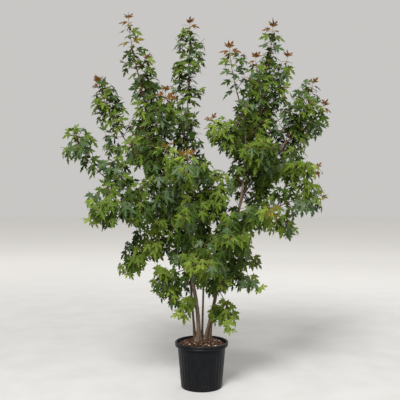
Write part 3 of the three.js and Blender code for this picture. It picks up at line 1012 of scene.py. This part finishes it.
STEM_ROWS = (
    StemRow(
        "stem_left",
        foot=(-0.043, 0.032),
        third=(-0.078, 0.05, 0.787),
        two_thirds=(-0.093, 0.095, 1.289),
        tip=(-0.096, 0.13, 1.792),
        radius=(0.008, 0.0045),
    ),
    StemRow(
        "stem_main",
        foot=(-0.021, -0.008),
        third=(-0.086, -0.02, 0.81),
        two_thirds=(-0.242, -0.01, 1.321),
        tip=(-0.367, -0.04, 1.822),
        radius=(0.014, 0.006),
    ),
    StemRow(
        "stem_centre",
        foot=(0.004, 0.052),
        third=(0.012, 0.03, 0.637),
        two_thirds=(0.005, -0.04, 0.977),
        tip=(-0.055, -0.19, 1.292),
        radius=(0.0075, 0.004),
    ),
    StemRow(
        "stem_right_inner",
        foot=(0.024, 0.01),
        third=(0.156, -0.01, 0.822),
        two_thirds=(0.272, -0.045, 1.34),
        tip=(0.256, -0.09, 1.841),
        radius=(0.009, 0.0045),
    ),
    StemRow(
        "stem_right",
        foot=(0.05, 0.036),
        third=(0.152, 0.036, 0.831),
        two_thirds=(0.304, 0.06, 1.361),
        tip=(0.414, 0.105, 1.912),
        radius=(0.012, 0.0055),
    ),
)

# Name, limb and how far up it, tip, rise, radii
BOUGH_ROWS = (
    BoughRow("bough_far_left", "stem_main", 0.58, (-0.6, -0.07, 1.365), 0.3),
    BoughRow("bough_left", "stem_main", 0.74, (-0.564, 0.15, 1.718), 0.8),
    BoughRow("bough_pendant_left", "stem_main", 0.47, (-0.445, -0.17, 1.222), -0.1),
    BoughRow("bough_right", "stem_right", 0.6, (0.587, 0.12, 1.673), 0.9),
    BoughRow("bough_low_right", "stem_right", 0.46, (0.544, -0.04, 1.215), 0),
    BoughRow("bough_back_left", "stem_left", 0.5, (-0.3, 0.26, 1.48), 0.7, (0.0055, 0.0036)),
    BoughRow("bough_back_right", "stem_right", 0.42, (0.42, 0.28, 1.3), 0.5),
    BoughRow("bough_back", "stem_left", 0.62, (-0.06, 0.27, 1.54), 0.8, (0.0055, 0.0036)),
)

# Name, limb and how far up it, tip, rise, spread, fullness, young leaves
SHOOT_ROWS = (
    ShootRow("crown_left_top", "stem_main", 1, (-0.472, -0.15, 2.447), 2, 0.14, 0.3, Tip.BRONZE),
    ShootRow("crown_left_side", "stem_main", 0.93, (-0.373, 0.18, 2.267), 2, 0.13, 0.36, Tip.BRONZE),
    ShootRow("crown_left_fork", "stem_main", 0.86, (-0.226, -0.17, 1.975), 1.5, 0.155, 0.8, Tip.BRONZE),
    ShootRow("mid_left_front", "stem_main", 0.7, (-0.48, -0.215, 1.64), 0.2, 0.17, 0.3),
    ShootRow("mid_left_inner", "stem_main", 0.66, (-0.22, -0.21, 1.62), 0.8, 0.17, 0.42, Tip.GOLD),
    ShootRow("mid_left_heart", "stem_main", 0.53, (-0.345, -0.24, 1.4), 0, 0.17, 0.45),
    ShootRow("low_left_outer", "stem_main", 0.46, (-0.51, -0.02, 0.72), -0.75, 0.16, 0.6, Tip.LIME),
    ShootRow("low_left_skirt", "stem_main", 0.31, (-0.3, -0.13, 0.61), -0.6, 0.15, 0.85),
    ShootRow("left_high_tip", "bough_left", 1, (-0.726, 0.21, 2.111), 1.6, 0.145, 0.7, Tip.BRONZE),
    ShootRow("left_high_low", "bough_left", 0.6, (-0.682, 0.23, 1.607), 0.1, 0.15, 0.08),
    ShootRow("far_left_tip", "bough_far_left", 1, (-0.855, -0.09, 1.735), 0.8, 0.15, 0.35),
    ShootRow("far_left_up", "bough_far_left", 0.6, (-0.629, 0.12, 1.549), 0.6, 0.14, 0.35),
    ShootRow("pendant_left_tip", "bough_pendant_left", 1, (-0.725, -0.26, 1.085), -0.5, 0.17, 0.8, Tip.LIME),
    ShootRow("pendant_left_mid", "bough_pendant_left", 0.6, (-0.45, -0.29, 1.09), -0.6, 0.16, 0.48),
    ShootRow("left_inner_low", "stem_left", 0.46, (-0.238, 0.21, 1.106), -0.4, 0.17, 0.65),
    ShootRow("low_left_back", "stem_left", 0.34, (-0.26, 0.33, 0.88), -0.3, 0.15, 0.05),
    ShootRow("low_left_hang", "stem_left", 0.2, (-0.15, -0.13, 0.46), -1.2, 0.145, 1, Tip.LIME),
    ShootRow("centre_top", "stem_left", 1, (-0.08, 0.15, 2.506), 2, 0.145, 0.58, Tip.BRONZE),
    ShootRow("centre_high", "stem_left", 0.8, (-0.142, 0.26, 1.913), 1.2, 0.15, 0.15, Tip.GOLD),
    ShootRow("front_leader", "stem_centre", 1, (-0.09, -0.44, 1.55), 0.9, 0.18, 0.5, Tip.GOLD),
    ShootRow("front_hang", "stem_centre", 0.84, (-0.125, -0.48, 1.12), -0.6, 0.175, 0.7),
    ShootRow("front_low", "stem_centre", 0.55, (0, -0.43, 0.8), -0.7, 0.19, 0.7, Tip.LIME),
    ShootRow("front_skirt", "stem_centre", 0.4, (0.15, -0.27, 0.69), -0.6, 0.18, 0.55),
    ShootRow("centre_inner", "stem_centre", 0.75, (0.15, -0.25, 1.42), 0.4, 0.165, 0.5),
    ShootRow("right_inner_leader", "stem_right_inner", 1, (0.173, -0.2, 2.248), 2, 0.145, 0.24, Tip.BRONZE),
    ShootRow("right_inner_side", "stem_right_inner", 0.8, (0.045, -0.14, 1.8), 0.6, 0.13, 0.75, Tip.GOLD),
    ShootRow("front_right_tip", "stem_right_inner", 0.46, (0.43, -0.48, 1.18), -0.2, 0.135, 0.45, Tip.GOLD),
    ShootRow("front_right_low", "stem_right_inner", 0.37, (0.165, -0.46, 1.01), -0.4, 0.17, 0.4),
    ShootRow("low_right_hang", "stem_right_inner", 0.22, (0.185, -0.15, 0.37), -1.2, 0.15, 0.55, Tip.LIME),
    ShootRow("right_top", "stem_right", 1, (0.495, 0.15, 2.479), 2, 0.155, 0.3, Tip.BRONZE),
    ShootRow("right_top_left", "stem_right", 0.92, (0.353, -0.08, 2.215), 2, 0.13, 0.28, Tip.BRONZE),
    ShootRow("right_top_right", "stem_right", 0.95, (0.621, 0.29, 2.306), 1.5, 0.13, 0.32, Tip.BRONZE),
    ShootRow("right_core", "stem_right", 0.74, (0.379, 0.26, 2.074), 1.5, 0.165, 0.9),
    ShootRow("right_front", "stem_right", 0.66, (0.4, -0.26, 1.64), 0.6, 0.17, 0.6),
    ShootRow("low_right_small", "stem_right", 0.34, (0.391, 0.23, 0.782), -0.4, 0.15, 0.2),
    ShootRow("low_right_skirt", "stem_right", 0.26, (0.4, -0.11, 0.64), -0.7, 0.15, 0.4, Tip.LIME),
    ShootRow("far_right_top", "bough_right", 1, (0.78, 0.16, 2.093), 1.4, 0.15, 0.42, Tip.BRONZE),
    ShootRow("far_right_side", "bough_right", 0.86, (0.879, 0.21, 1.943), 1, 0.13, 0.3, Tip.BRONZE),
    ShootRow("far_right_low", "bough_right", 0.6, (0.694, 0.27, 1.834), 1.2, 0.16, 0.65),
    ShootRow("mid_right_tip", "bough_right", 0.35, (0.79, -0.11, 1.44), -0.2, 0.17, 0.5, Tip.GOLD),
    ShootRow("low_right_tip", "bough_low_right", 1, (0.822, -0.06, 1.29), 0.2, 0.155, 0.65, Tip.GOLD),
    ShootRow("low_right_under", "bough_low_right", 0.7, (0.622, 0.17, 0.97), -0.8, 0.155, 0.15),
    ShootRow("back_left_tip", "bough_back_left", 1, (-0.45, 0.51, 1.8), 1.2, 0.2, 0.4, Tip.BRONZE),
    ShootRow("back_right_tip", "bough_back_right", 1, (0.59, 0.52, 1.64), 0.9, 0.2, 0.35, Tip.GOLD),
    ShootRow("back_tip", "bough_back", 1, (-0.09, 0.51, 1.9), 1.4, 0.15, 0.1, Tip.BRONZE),
)


# How much a branch at first follows the limb that it leaves
LEAVE_ALONG = 0.35


def branch_curve(row: BoughRow | ShootRow, carrier: Limb, reach: float) -> Curve:
    """The line of a bough or shoot, from its carrier to its tip.

    Args:
        row: where it starts and ends, and how steeply its end rises.
        carrier: the limb that it leaves.
        reach: how far short of the tip it stops.

    Returns:
        The curve.
    """
    tip = np.array(row.tip, float)
    way = carrier.curve.way(row.at)
    start = carrier.curve.point(row.at)
    chord = tip - start
    third = np.linalg.norm(chord) / 3
    out = unit(chord)
    leave = way if row.at == 1 else unit(out + (way - out) * LEAVE_ALONG)
    arrive = unit(out + UP * row.rise)
    end = tip - arrive * reach
    return Curve(start, start + leave * third, end - arrive * third, end)


@dataclass
class Scaffold:
    """The plant's limbs: the stems that stand in the soil, and the boughs that fork from them."""

    ground: float
    foot_depth: float = 0.004
    limbs: dict[str, Limb] = field(default_factory=dict)

    def __post_init__(self) -> None:
        """Works out the limbs' lines."""
        for row in STEM_ROWS:
            foot = np.array((*row.foot, self.ground - self.foot_depth))
            points = [np.array(point, float) for point in (row.third, row.two_thirds, row.tip)]
            curve = Curve.through(foot, *points)
            self.limbs[row.name] = Stem(row.name, curve, row.radius)
        for row in BOUGH_ROWS:
            curve = branch_curve(row, self.limbs[row.carrier], 0)
            self.limbs[row.name] = Limb(row.name, curve, row.radius)

    def build(self, effects: EffectGroups) -> None:
        """Models and publishes every limb in one bark."""
        material = BARK_FINISH.material(effects)
        for limb in self.limbs.values():
            limb.build(material)


# Twigs and leaves


class LeafShape:
    """The outline of a maple leaf with five toothed lobes, as points and faces of unit length."""

    # Half the outline, from stalk to apex: across, along, and the point of the rib that it fans to
    HALF = (
        (0.07, -0.04, 0),
        (0.3, -0.1, 0),
        (0.19, 0.04, 0),
        (0.26, 0.09, 0),
        (0.45, 0.17, 0),
        (0.38, 0.24, 0),
        (0.62, 0.5, 0),
        (0.37, 0.39, 0),
        (0.31, 0.44, 0),
        (0.11, 0.28, 1),
        (0.12, 0.45, 2),
        (0.24, 0.62, 2),
        (0.11, 0.63, 3),
        (0.14, 0.79, 3),
        (0.05, 0.82, 4),
    )
    RIB = (0.0, 0.2, 0.42, 0.62, 0.8, 1.0)
    UV_SHIFT = (-0.65, -0.15, 0.0)

    def __init__(self) -> None:
        """Works out the points and faces of the whole leaf."""
        self.points = np.array([(0.0, along) for along in self.RIB])
        faces: list[tuple[int, int, int]] = []
        for side in (1, -1):
            faces += self._half(side)
        self.faces = np.array(faces)
        self.places = self.points - np.array(self.UV_SHIFT[:2])

    def _half(self, side: int) -> list[tuple[int, int, int]]:
        """Adds the points of one half, and gives its faces."""
        first = len(self.points)
        self.points = np.vstack((self.points, [(across * side, along) for across, along, _ in self.HALF]))
        stations = [station for _, _, station in self.HALF]
        faces = []
        for number, station in enumerate(stations[:-1]):
            here, onward = first + number, first + number + 1
            faces.append((here, onward, station))
            faces += [(onward, rib + 1, rib) for rib in range(station, stations[number + 1])]
        apex = len(self.RIB) - 1
        faces.append((first + len(stations) - 1, apex, stations[-1]))
        return faces if side > 0 else [face[::-1] for face in faces]


@dataclass
class Leaf:
    """One leaf: its stalk's root, where its blade starts, which way that goes and faces, and its shape."""

    root: Array
    base: Array
    along: Array
    face: Array
    length: float
    tint: Tint
    width: float
    bend: float
    fold: float
    hook: float


@dataclass(frozen=True)
class GrowthRule:
    """How shoots branch, and how their leaves stand."""

    # Shoots: upright leaders, and sprays
    leader_rise: float = 1.0
    reach: float = 0.042
    taper_length: float = 0.28
    leader_taper: float = 0.45
    spray_taper: float = 0.6
    shoot_root: float = 0.0036
    side_root: float = 0.0021
    twig_tip: float = 0.0012

    # Their nodes
    leafy_from: float = 0.08
    last_node_at: float = 0.99
    leader_spacing: float = 0.033
    spray_spacing: float = 0.034
    least_nodes: int = 4
    tip_nodes: int = 2
    tip_crowding: float = 1.7
    crowding_fade: float = 0.5
    tip_forward: float = 1.5
    forward: float = 0.55
    sidelong: Triple = (0.02, 0.0, 0.0)
    first_turn: float = 0.4

    # Side twigs of shoots and limbs
    leader_fullness: float = 1.5
    leader_side_first: int = 4
    spray_side_first: int = 3
    stem_leaves: Pair = (0.27, 0.85)  # how much of the limb is bare, and how full the rest is
    bough_leaves: Pair = (0.12, 1.3)
    limb_spacing: float = 0.05
    limb_light: float = 0.3
    side_length: Pair = (0.45, 0.95)
    side_spacing: float = 0.024
    side_bare: float = 0.2
    side_lift: float = 0.25
    side_age: int = 2
    least_pairs: int = 2

    # How a leaf stands
    stalk_share: Pair = (0.3, 0.55)
    stalk_lift: float = 0.35
    light: Pair = (0.95, 0.3)  # from the front, and from outside the crown
    droop: float = 0.8
    droop_least: Pair = (0.25, 1.6)
    droop_level: float = 1.0
    droop_by_rise: float = 0.5
    droop_sizes: Pair = (0.62, 1.0)
    roll: float = 0.55
    tries: int = 6
    try_scale: float = 0.94
    limb_clearance: float = 0.004
    apart: float = 0.4
    lobe: Pair = (0.48, 0.6)

    # Its shape and colour
    leaf_length: Pair = (0.066, 0.092)
    young_lengths: tuple[float, ...] = (0.54, 0.68, 0.88, 0.96)
    width: Pair = (0.76, 1.0)
    bend: Pair = (0.08, 0.42)
    fold: Pair = (-0.12, 0.2)
    hook: Pair = (0.05, 0.5)
    stray_tint: float = 0.25
    young_side: float = 0.1
    young_pairs: int = 2

    def leads(self, row: ShootRow) -> bool:
        """Whether a shoot is an upright leader, and not a spray."""
        return row.rise >= self.leader_rise

    def tapers(self, row: ShootRow, shares: Array) -> Array:
        """How much of its spread a shoot fills at shares of its length: less towards the tip."""
        least = self.leader_taper if self.leads(row) else self.spray_taper
        return least + (1 - least) * np.clip((1 - shares) / self.taper_length, 0, 1)

    def droops(self, row: ShootRow, size: float) -> Pair:
        """The least and most that a leaf of a size hangs: more on a hanging shoot, less while young."""
        least = float(np.clip(self.droop_level - self.droop_by_rise * row.rise, *self.droop_least))
        grown = float(np.interp(size, self.droop_sizes, (0, 1)))
        return least * grown, (least + self.droop) * grown

    def faces(self, place: Array) -> Array:
        """The direction that a leaf at a place turns its face to: up, to the front and out of the crown."""
        front, outward = self.light
        out = unit(place * np.array((1.0, 1.0, 0.0)))
        return UP + FRONT * front + out * outward


@dataclass
class Shoot:
    """A leafy shoot: its row, its line and the radius at its root."""

    row: ShootRow
    curve: Curve
    root_radius: float


class Spaces:
    """Which place belongs to which shoot, and how near it is to a limb."""

    SHOOT_SAMPLES = 20
    LIMB_SAMPLES = 80

    def __init__(self, shoots: Sequence[Shoot], limbs: Sequence[Limb], rule: GrowthRule) -> None:
        """Samples the lines of shoots and limbs."""
        shares = np.linspace(0, 1, self.SHOOT_SAMPLES)
        self.tapers = np.array([rule.tapers(shoot.row, shares) for shoot in shoots])
        self.lines = np.array([shoot.curve.points(shares) for shoot in shoots])
        self.spreads = np.array([shoot.row.spread for shoot in shoots])
        shares = np.linspace(0, 1, self.LIMB_SAMPLES)
        self.limb_points = np.concatenate([limb.curve.points(shares) for limb in limbs])
        self.limb_radii = np.concatenate([limb.radii(shares) for limb in limbs])

    def within(self, points: Array, number: int) -> bool:
        """Whether points lie within what a shoot fills of its spread."""
        gaps = np.linalg.norm(points[:, None] - self.lines[number][None], axis=-1)
        nearest = gaps.argmin(axis=-1)
        return bool((gaps.min(axis=-1) <= self.tapers[number][nearest] * self.spreads[number]).all())

    def nearest(self, point: Array) -> int:
        """The shoot whose line is nearest to a point, beside its spread."""
        gaps = np.linalg.norm(point - self.lines, axis=-1).min(axis=-1) / self.spreads
        return int(gaps.argmin())

    def clear(self, points: Array, clearance: float) -> bool:
        """Whether points keep a clearance from every limb."""
        gaps = np.linalg.norm(points[:, None] - self.limb_points[None], axis=-1) - self.limb_radii
        return bool((gaps > clearance).all())


@dataclass
class Crown:
    """All twigs and leaves, grown shoot by shoot and joined by kind."""

    limbs: dict[str, Limb]
    rule: GrowthRule = GrowthRule()
    stalk_sides: int = 3
    stalk_steps: int = 3
    stalk_radii: Pair = (0.0011, 0.0008)
    twig_sides: int = 7
    shoot_steps: int = 14
    side_steps: int = 6
    leaves: list[Leaf] = field(default_factory=list)
    most_leaves: int = 12000
    owners: dict[Tint, set[str]] = field(default_factory=dict)

    def __post_init__(self) -> None:
        """Works out the shoots' lines, and makes the empty gatherings."""
        self.shoots = [self._shoot(row) for row in SHOOT_ROWS]
        self.spaces = Spaces(self.shoots, list(self.limbs.values()), self.rule)
        self.centres = np.full((self.most_leaves, 3), np.inf)
        self.twigs = JoinedMesh()
        self.stalks = JoinedMesh()

    def _shoot(self, row: ShootRow) -> Shoot:
        """A shoot's line from its row."""
        carrier = self.limbs[row.carrier]
        root = carrier.radius[1] if row.at == 1 else self.rule.shoot_root
        return Shoot(row, branch_curve(row, carrier, self.rule.reach), root)

    def _twig(self, curve: Curve, root_radius: float, steps: int) -> None:
        """Adds one tapering twig."""
        shares = np.linspace(0, 1, steps + 1)
        radii = root_radius + (self.rule.twig_tip - root_radius) * shares
        self.twigs.add(*tube(curve.points(shares), radii, self.twig_sides))

    def _stalk(self, leaf: Leaf, leave: Array) -> None:
        """Adds the bent stalk of a leaf."""
        reach = np.linalg.norm(leaf.base - leaf.root) / 3
        bends = (leaf.root + leave * reach, leaf.base - leaf.along * reach)
        path = bezier(np.array((leaf.root, *bends, leaf.base)), np.linspace(0, 1, self.stalk_steps + 1))
        radii = np.linspace(*self.stalk_radii, self.stalk_steps + 1)
        self.stalks.add(*tube(path, radii, self.stalk_sides))

    def _leaf(
        self, row: ShootRow, root: Array, out: Array, size: float, tint: Tint, dice: random.Random
    ) -> None:
        """Adds a leaf where one fits, trying smaller and other settings in turn.

        Args:
            row: the shoot that sets how the leaf hangs.
            root: where the stalk leaves its twig.
            out: the direction in which it leaves.
            size: the leaf's size beside a grown one.
            tint: its colour.
            dice: the shoot's own random numbers.
        """
        rule = self.rule
        length = dice.uniform(*rule.leaf_length) * size
        for _ in range(rule.tries):
            leave = unit(out + UP * rule.stalk_lift * dice.random())
            base = root + leave * length * dice.uniform(*rule.stalk_share)
            along = unit(out - UP * dice.uniform(*rule.droops(row, size)))
            lit = rule.faces(base)
            face = turned(unit(lit - along * (lit @ along)), along, dice.uniform(-rule.roll, rule.roll))
            if self._fits(base, along, np.cross(along, face), length):
                shape = [dice.uniform(*limits) for limits in (rule.width, rule.bend, rule.fold, rule.hook)]
                leaf = Leaf(root, base, along, face, length, tint, *shape)
                centre = base + along * length / 2
                self.centres[len(self.leaves)] = centre
                self.leaves.append(leaf)
                self.owners.setdefault(tint, set()).add(self.shoots[self.spaces.nearest(centre)].row.name)
                self._stalk(leaf, leave)
                return
            length *= rule.try_scale

    def _has_room(self, points: Array) -> bool:
        """Whether points lie in the space of the shoot nearest to their middle, clear of limbs."""
        number = self.spaces.nearest(points.mean(axis=0))
        return self.spaces.within(points, number) and self.spaces.clear(points, self.rule.limb_clearance)

    def _fits(self, base: Array, along: Array, across: Array, length: float) -> bool:
        """Whether a blade keeps to the shoots' spaces, clear of limbs and of the other blades' middles."""
        forward, aside = self.rule.lobe
        lobes = [base + (along * forward + across * aside * side) * length for side in (1, -1)]
        centre = base + along * length / 2
        if not self._has_room(np.array((base + along * length, centre, *lobes))):
            return False
        others = self.centres[: len(self.leaves) + 1]
        return np.linalg.norm(others - centre, axis=1).min() > self.rule.apart * length

    @staticmethod
    def _mature(row: ShootRow, share: float, dice: random.Random) -> Tint:
        """The colour of a spray of grown leaves at a share of the way along a shoot."""
        # Sprays nearer the shoot's root draw the inner tints, whose darker greens are partly painted shade
        tints = OUTER_TINTS[row.young] if dice.random() < share else INNER_SHADED_TINTS
        return dice.choices(list(tints), list(tints.values()))[0]

    def _side_twig(self, row: ShootRow, share: float, root: Array, out: Array, dice: random.Random) -> None:
        """Adds a side twig with its own pairs of leaves, where they fit."""
        rule = self.rule
        length = dice.uniform(*rule.side_length) * row.spread
        arrive = unit(out + UP * rule.side_lift * row.rise)
        end = root + unit(out + arrive) * length
        if not self._has_room(end[None]):
            return
        curve = Curve(root, root + out * length / 3, end - arrive * length / 3, end)
        leaves_before = len(self.leaves)
        spray = self._mature(row, share, dice)
        young = dice.random() < rule.young_side * share * share
        pairs = max(rule.least_pairs, round(length * (1 - rule.side_bare) / rule.side_spacing))
        for pair in range(pairs):
            place = rule.last_node_at - (rule.last_node_at - rule.side_bare) * pair / pairs
            tint = self._mature(row, share, dice) if dice.random() < rule.stray_tint else spray
            age = pair + rule.side_age
            if young and pair < rule.young_pairs:
                tint = row.young.value[min(age, len(row.young.value) - 1)]
            size = rule.young_lengths[min(age, len(rule.young_lengths) - 1)]
            for out_way in self._outs(curve.way(place), pair * QUARTER_TURN, rule.forward):
                self._leaf(row, curve.point(place), out_way, size, tint, dice)
        if len(self.leaves) > leaves_before:
            self._twig(curve, rule.side_root, self.side_steps)

    def _outs(self, way: Array, turn: float, forward: float) -> list[Array]:
        """The two opposite directions in which a node of a twig branches, leaning forward along it."""
        level = unit(np.cross(way, FRONT) + self.rule.sidelong)
        sides = [turned(level, way, turn + half) for half in (0, math.pi)]
        return [unit(side + way * forward) for side in sides]

    def _grow_shoot(self, shoot: Shoot) -> None:
        """Grows one shoot: its twig, its leaves and its side twigs, node by node from the tip."""
        rule = self.rule
        row, curve = shoot.row, shoot.curve
        dice = random.Random(row.name)
        self._twig(curve, shoot.root_radius, self.shoot_steps)
        leads = rule.leads(row)
        spacing = rule.leader_spacing if leads else rule.spray_spacing
        side_first = rule.leader_side_first if leads else rule.spray_side_first
        leafy = rule.last_node_at - rule.leafy_from
        nodes = max(rule.least_nodes, round(curve.length * leafy / spacing))
        first_turn = dice.uniform(-rule.first_turn, rule.first_turn)
        young = row.young.value
        for node in range(nodes):
            from_tip = node - rule.tip_crowding * (1 - rule.crowding_fade**node)
            share = rule.last_node_at - leafy * from_tip / (nodes - 1)
            turn = first_turn + node * QUARTER_TURN
            root, way = curve.point(share), curve.way(share)
            tint = young[node] if node < len(young) else self._mature(row, share, dice)
            size = rule.young_lengths[node] if node < len(rule.young_lengths) else 1.0
            forward = rule.tip_forward if leads and node < rule.tip_nodes else rule.forward
            for out in self._outs(way, turn, forward):
                self._leaf(row, root, out, size, tint, dice)
            chance = row.fullness * (rule.leader_fullness - share if leads else 1)
            for out in self._outs(way, turn + QUARTER_TURN, rule.forward):
                if node >= side_first and dice.random() < chance:
                    self._side_twig(row, share, root, out, dice)

    def _grow_limb(self, limb: Limb) -> None:
        """Grows leafy side twigs on a limb, from its tip down to its bare foot."""
        rule = self.rule
        dice = random.Random(limb.name)
        bare, fullness = rule.stem_leaves if isinstance(limb, Stem) else rule.bough_leaves
        nodes = round(limb.curve.length * (1 - bare) / rule.limb_spacing)
        first_turn = dice.random() * math.pi
        for node in range(nodes):
            share = 1 - (1 - bare) * node / nodes
            root, way = limb.curve.point(share), limb.curve.way(share)
            row = self.shoots[self.spaces.nearest(root)].row
            for out in self._outs(way, first_turn + node * QUARTER_TURN, rule.forward):
                if dice.random() < fullness * row.fullness:
                    self._side_twig(row, rule.limb_light, root, out, dice)

    def _blades(self, leaves: Sequence[Leaf], shape: LeafShape) -> JoinedMesh:
        """The blades of leaves as one mesh."""
        gathered = JoinedMesh()
        aside, onward = shape.points[:, 0], shape.points[:, 1]
        for leaf in leaves:
            lift = leaf.fold * np.abs(aside) - leaf.bend * onward**2 - leaf.hook * aside**2
            across = np.cross(leaf.along, leaf.face) * leaf.width
            local = np.outer(aside, across) + np.outer(onward, leaf.along) + np.outer(lift, leaf.face)
            gathered.add(leaf.base + local * leaf.length, shape.faces, shape.places)
        return gathered

    def build(self, effects: EffectGroups) -> None:
        """Grows every shoot, and publishes twigs, stalks and the leaves of each colour."""
        for shoot in self.shoots:
            self._grow_shoot(shoot)
        for limb in self.limbs.values():
            self._grow_limb(limb)
        masses = ["foliage_" + shoot.row.name for shoot in self.shoots]
        twigs = link("twigs", self.twigs.mesh("twigs"), TWIG_FINISH.material(effects))
        publish(twigs, masses)
        stalks = link("leaf_stalks", self.stalks.mesh("leaf_stalks"), STALK_FINISH.material(effects))
        publish(stalks)
        shape = LeafShape()
        for tint, finish in LEAF_FINISHES.items():
            leaves = [leaf for leaf in self.leaves if leaf.tint is tint]
            mesh = self._blades(leaves, shape).mesh("leaves_" + tint.value)
            nodes = sorted("foliage_" + name for name in self.owners[tint])
            publish(link("leaves_" + tint.value, mesh, finish.material(effects)), nodes)
        log.info("%d leaves", len(self.leaves))


# Studio


@dataclass
class Studio:
    """The camera at the photographed view, a plain pale floor and soft light."""

    eye: Triple = (-0.0107, -4.0, 1.241)
    lens: float = 54.0
    sensor: float = 36.0
    floor_half: float = 40.0
    floor_squares: int = 8
    floor_tone: Finish = FloorFinish(
        "pale_floor", (0.44, 0.432, 0.418), (0.47, 0.462, 0.448), roughness=0.9, scale=3
    )
    sky: Triple = (1.0, 0.985, 0.96)
    sky_strength: float = 0.58
    # Each lamp's name, place, target, size and power
    lamps: tuple[tuple[str, Triple, Triple, float, float], ...] = (
        ("key", (-1.8, -7.0, 8.3), (0, 0, 1.2), 3.8, 1680.0),
        ("fill", (3.6, -3.4, 2.6), (0, 0, 1.2), 3.0, 70.0),
        ("back", (1.5, 5.0, 4.8), (0, 0, 1.3), 3.0, 110.0),
    )

    def build(self, effects: EffectGroups) -> None:
        """Sets up the camera, the floor, the lamps and the sky."""
        scene = bpy.context.scene
        scene.view_settings.view_transform = "Standard"
        camera = bpy.data.objects.new("camera", bpy.data.cameras.new("camera"))
        camera.data.lens = self.lens
        camera.data.sensor_width = self.sensor
        camera.location = self.eye
        camera.rotation_euler = (QUARTER_TURN, 0, 0)
        scene.collection.objects.link(camera)
        scene.camera = camera
        shape = bmesh.new()
        squares = self.floor_squares
        bmesh.ops.create_grid(shape, x_segments=squares, y_segments=squares, size=self.floor_half)
        mesh = bpy.data.meshes.new("floor")
        shape.to_mesh(mesh)
        shape.free()
        link("floor", mesh, self.floor_tone.material(effects))
        for lamp in self.lamps:
            self._lamp(*lamp)
        world = bpy.data.worlds.new("sky")
        world.use_nodes = True
        background = world.node_tree.nodes["Background"]
        background.inputs["Color"].default_value = rgba(self.sky)
        background.inputs["Strength"].default_value = self.sky_strength
        scene.world = world

    @staticmethod
    def _lamp(name: str, place: Triple, target: Triple, size: float, power: float) -> None:
        """Hangs one soft lamp that faces a target."""
        light = bpy.data.lights.new(name, "AREA")
        light.shape = "DISK"
        light.size = size
        light.energy = power
        lamp = bpy.data.objects.new(name, light)
        lamp.location = place
        lamp.rotation_euler = (Vector(target) - Vector(place)).to_track_quat("-Z", "Y").to_euler()
        bpy.context.scene.collection.objects.link(lamp)


def main() -> None:
    """Builds the plant's sub-assemblies in order, and the studio around them."""
    logging.basicConfig(level=logging.INFO, format="%(name)s: %(message)s")
    effects = EffectGroups()
    pot = Pot()
    scaffold = Scaffold(ground=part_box("stem_main")[0].z)
    feet = [limb.curve.point(0) for limb in scaffold.limbs.values() if isinstance(limb, Stem)]
    pot.build(effects)
    Soil(pot, feet).build(effects)
    scaffold.build(effects)
    Crown(scaffold.limbs).build(effects)
    Studio().build(effects)


if __name__ == "__main__":
    main()
